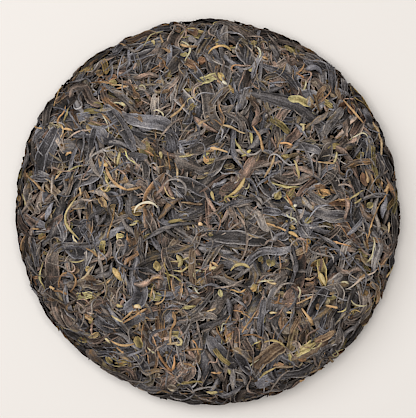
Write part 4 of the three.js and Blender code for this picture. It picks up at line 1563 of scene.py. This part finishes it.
# %% Loose ends and the last crumbs
LOOSE_END = {"inner": 101.0, "large": 0.35, "dive": -1.0, "astray": 1.3}
BANDS = {FACE: (0, 40, 80, 95, 105, 112), UNDER: (0, 30, 60, 85, 95, 105)}
layer(FACE, [
    ("twisted_leaves", "twisted", 40, LOOSE_END),
    ("stems", "stem", 14, LOOSE_END),
    ("brown_bits", "bit", 30, LOOSE_END),
    ("dark_strands", "strand", 100, {"dive": 0.4, "curl": 0.09, "tries": 1}),
    ("twisted_leaves", "twisted", 45, {"large": 0.4, "dive": 0.8, "curl": 0.035, "tries": 1}),
    ("crumbs", "crumb", 250, {"tries": 2}),
])
map_line = (np.arange(CELLS) + 0.5) * CELL - MAP_REACH
map_reach = np.hypot(map_line[:, None], map_line[None, :])
for side, bands in BANDS.items():
    for inner, outer in zip(bands, bands[1:]):
        heights = piles[side][(map_reach >= inner) & (map_reach < outer)]
        print(side, inner, "to", outer, "mm out, the pile is", np.percentile(heights, [5, 50, 95]).round(1))

# %% [markdown]
# ## The pieces
# Each kind of leaf is one piece, with the finish of its colour. The crumbs have a dull one of their own, so
# that the gaps stay dark.

# %% Make the pieces
FINISHES = {
    "rolled_leaves": (dark_leaf, "dark_leaf"),
    "folded_leaves": (dark_leaf, "dark_leaf"),
    "twisted_leaves": (dark_leaf, "dark_leaf"),
    "broad_leaves": (dark_leaf, "dark_leaf"),
    "brown_leaves": (brown_leaf, "brown_leaf"),
    "green_leaves": (green_leaf, "green_leaf"),
    "brown_bits": (brown_leaf, "brown_leaf"),
    "green_bits": (green_leaf, "green_leaf"),
    "stems": (stem_bark, "stem"),
    "pale_tips": (pale_tip, "pale_tip"),
    "dark_strands": (dark_leaf, "dark_leaf"),
    "pale_strands": (pale_tip, "pale_tip"),
    "crumbs": (packed_crumb, "dark_leaf"),
}
around = {side: blurred(pile) for side, pile in piles.items()}
for name, (material, slot) in FINISHES.items():
    joined(name, heap[name], around, material)

# %% [markdown]
# ## Floor and light
# The cake lies on a pale warm table. A window at the upper left, where the photograph has its light from,
# picks out the edges of the leaves. A broad light on the ceiling and the glow of the room fill the shadows,
# so that the one beside the cake stays faint. Places and sizes are in metres here.

# %% The stage
TABLE_REACH = 3.0
TABLE_COLOUR = (0.82, 0.80, 0.78)
TABLE_ROUGHNESS = 0.9
TABLE_SHINE = 0.2
ROOM_COLOUR = (1.0, 0.96, 0.92)
ROOM_GLOW = 0.17
LIGHTS = {
    "window": {"place": (-1.25, 0.65, 1.3), "size": 1.1, "power": 12.0, "colour": (0.97, 0.985, 1.0)},
    "ceiling": {"place": (-0.12, 0.15, 1.7), "size": 1.3, "power": 24.5, "colour": ROOM_COLOUR},
}


def table():
    """The table top that the cake lies on."""
    bm = bmesh.new()
    bmesh.ops.create_grid(bm, x_segments=2, y_segments=2, size=TABLE_REACH)
    mesh = bpy.data.meshes.new("floor")
    bm.to_mesh(mesh)
    bm.free()
    floor = bpy.data.objects.new("floor", mesh)
    bpy.context.scene.collection.objects.link(floor)
    material = bpy.data.materials.new("pale_table")
    material.use_nodes = True
    shader = material.node_tree.nodes["Principled BSDF"]
    shader.inputs["Base Color"].default_value = (*TABLE_COLOUR, 1)
    shader.inputs["Roughness"].default_value = TABLE_ROUGHNESS
    shader.inputs["Specular IOR Level"].default_value = TABLE_SHINE
    mesh.materials.append(material)


def soft_light(name, place, size, power, colour):
    """A square lamp that points at the cake."""
    light = bpy.data.lights.new(name, "AREA")
    light.size = size
    light.energy = power
    light.color = colour
    lamp = bpy.data.objects.new(name, light)
    lamp.location = place
    lamp.rotation_euler = (-Vector(place)).to_track_quat("-Z", "Y").to_euler()
    bpy.context.scene.collection.objects.link(lamp)


table()
for name, facts in LIGHTS.items():
    soft_light(name, **facts)
    print(name, "light:", facts["power"], "watts")
world = bpy.data.worlds.new("soft_room")
world.use_nodes = True
world.node_tree.nodes["Background"].inputs["Color"].default_value = (*ROOM_COLOUR, 1)
world.node_tree.nodes["Background"].inputs["Strength"].default_value = ROOM_GLOW
bpy.context.scene.world = world
bpy.context.scene.view_settings.view_transform = "Standard"

# %% [markdown]
# A camera sharpens the picture that it takes, which draws out the thin edges of the leaves. The compositor
# does the same here: its sharpening filter is mixed in a little.

# %% Sharpen the picture as a camera does
SHARPENING = 0.047


def sharpen(scene):
    """Mixes the sharpening filter into the scene's picture."""
    scene.use_nodes = True
    tree = scene.node_tree
    tree.nodes.clear()
    picture = tree.nodes.new("CompositorNodeRLayers")
    crisp = tree.nodes.new("CompositorNodeFilter")
    crisp.filter_type = "SHARPEN"
    crisp.inputs["Fac"].default_value = SHARPENING
    result = tree.nodes.new("CompositorNodeComposite")
    tree.links.new(picture.outputs["Image"], crisp.inputs["Image"])
    tree.links.new(crisp.outputs["Image"], result.inputs["Image"])


sharpen(bpy.context.scene)
print("sharpening:", SHARPENING)
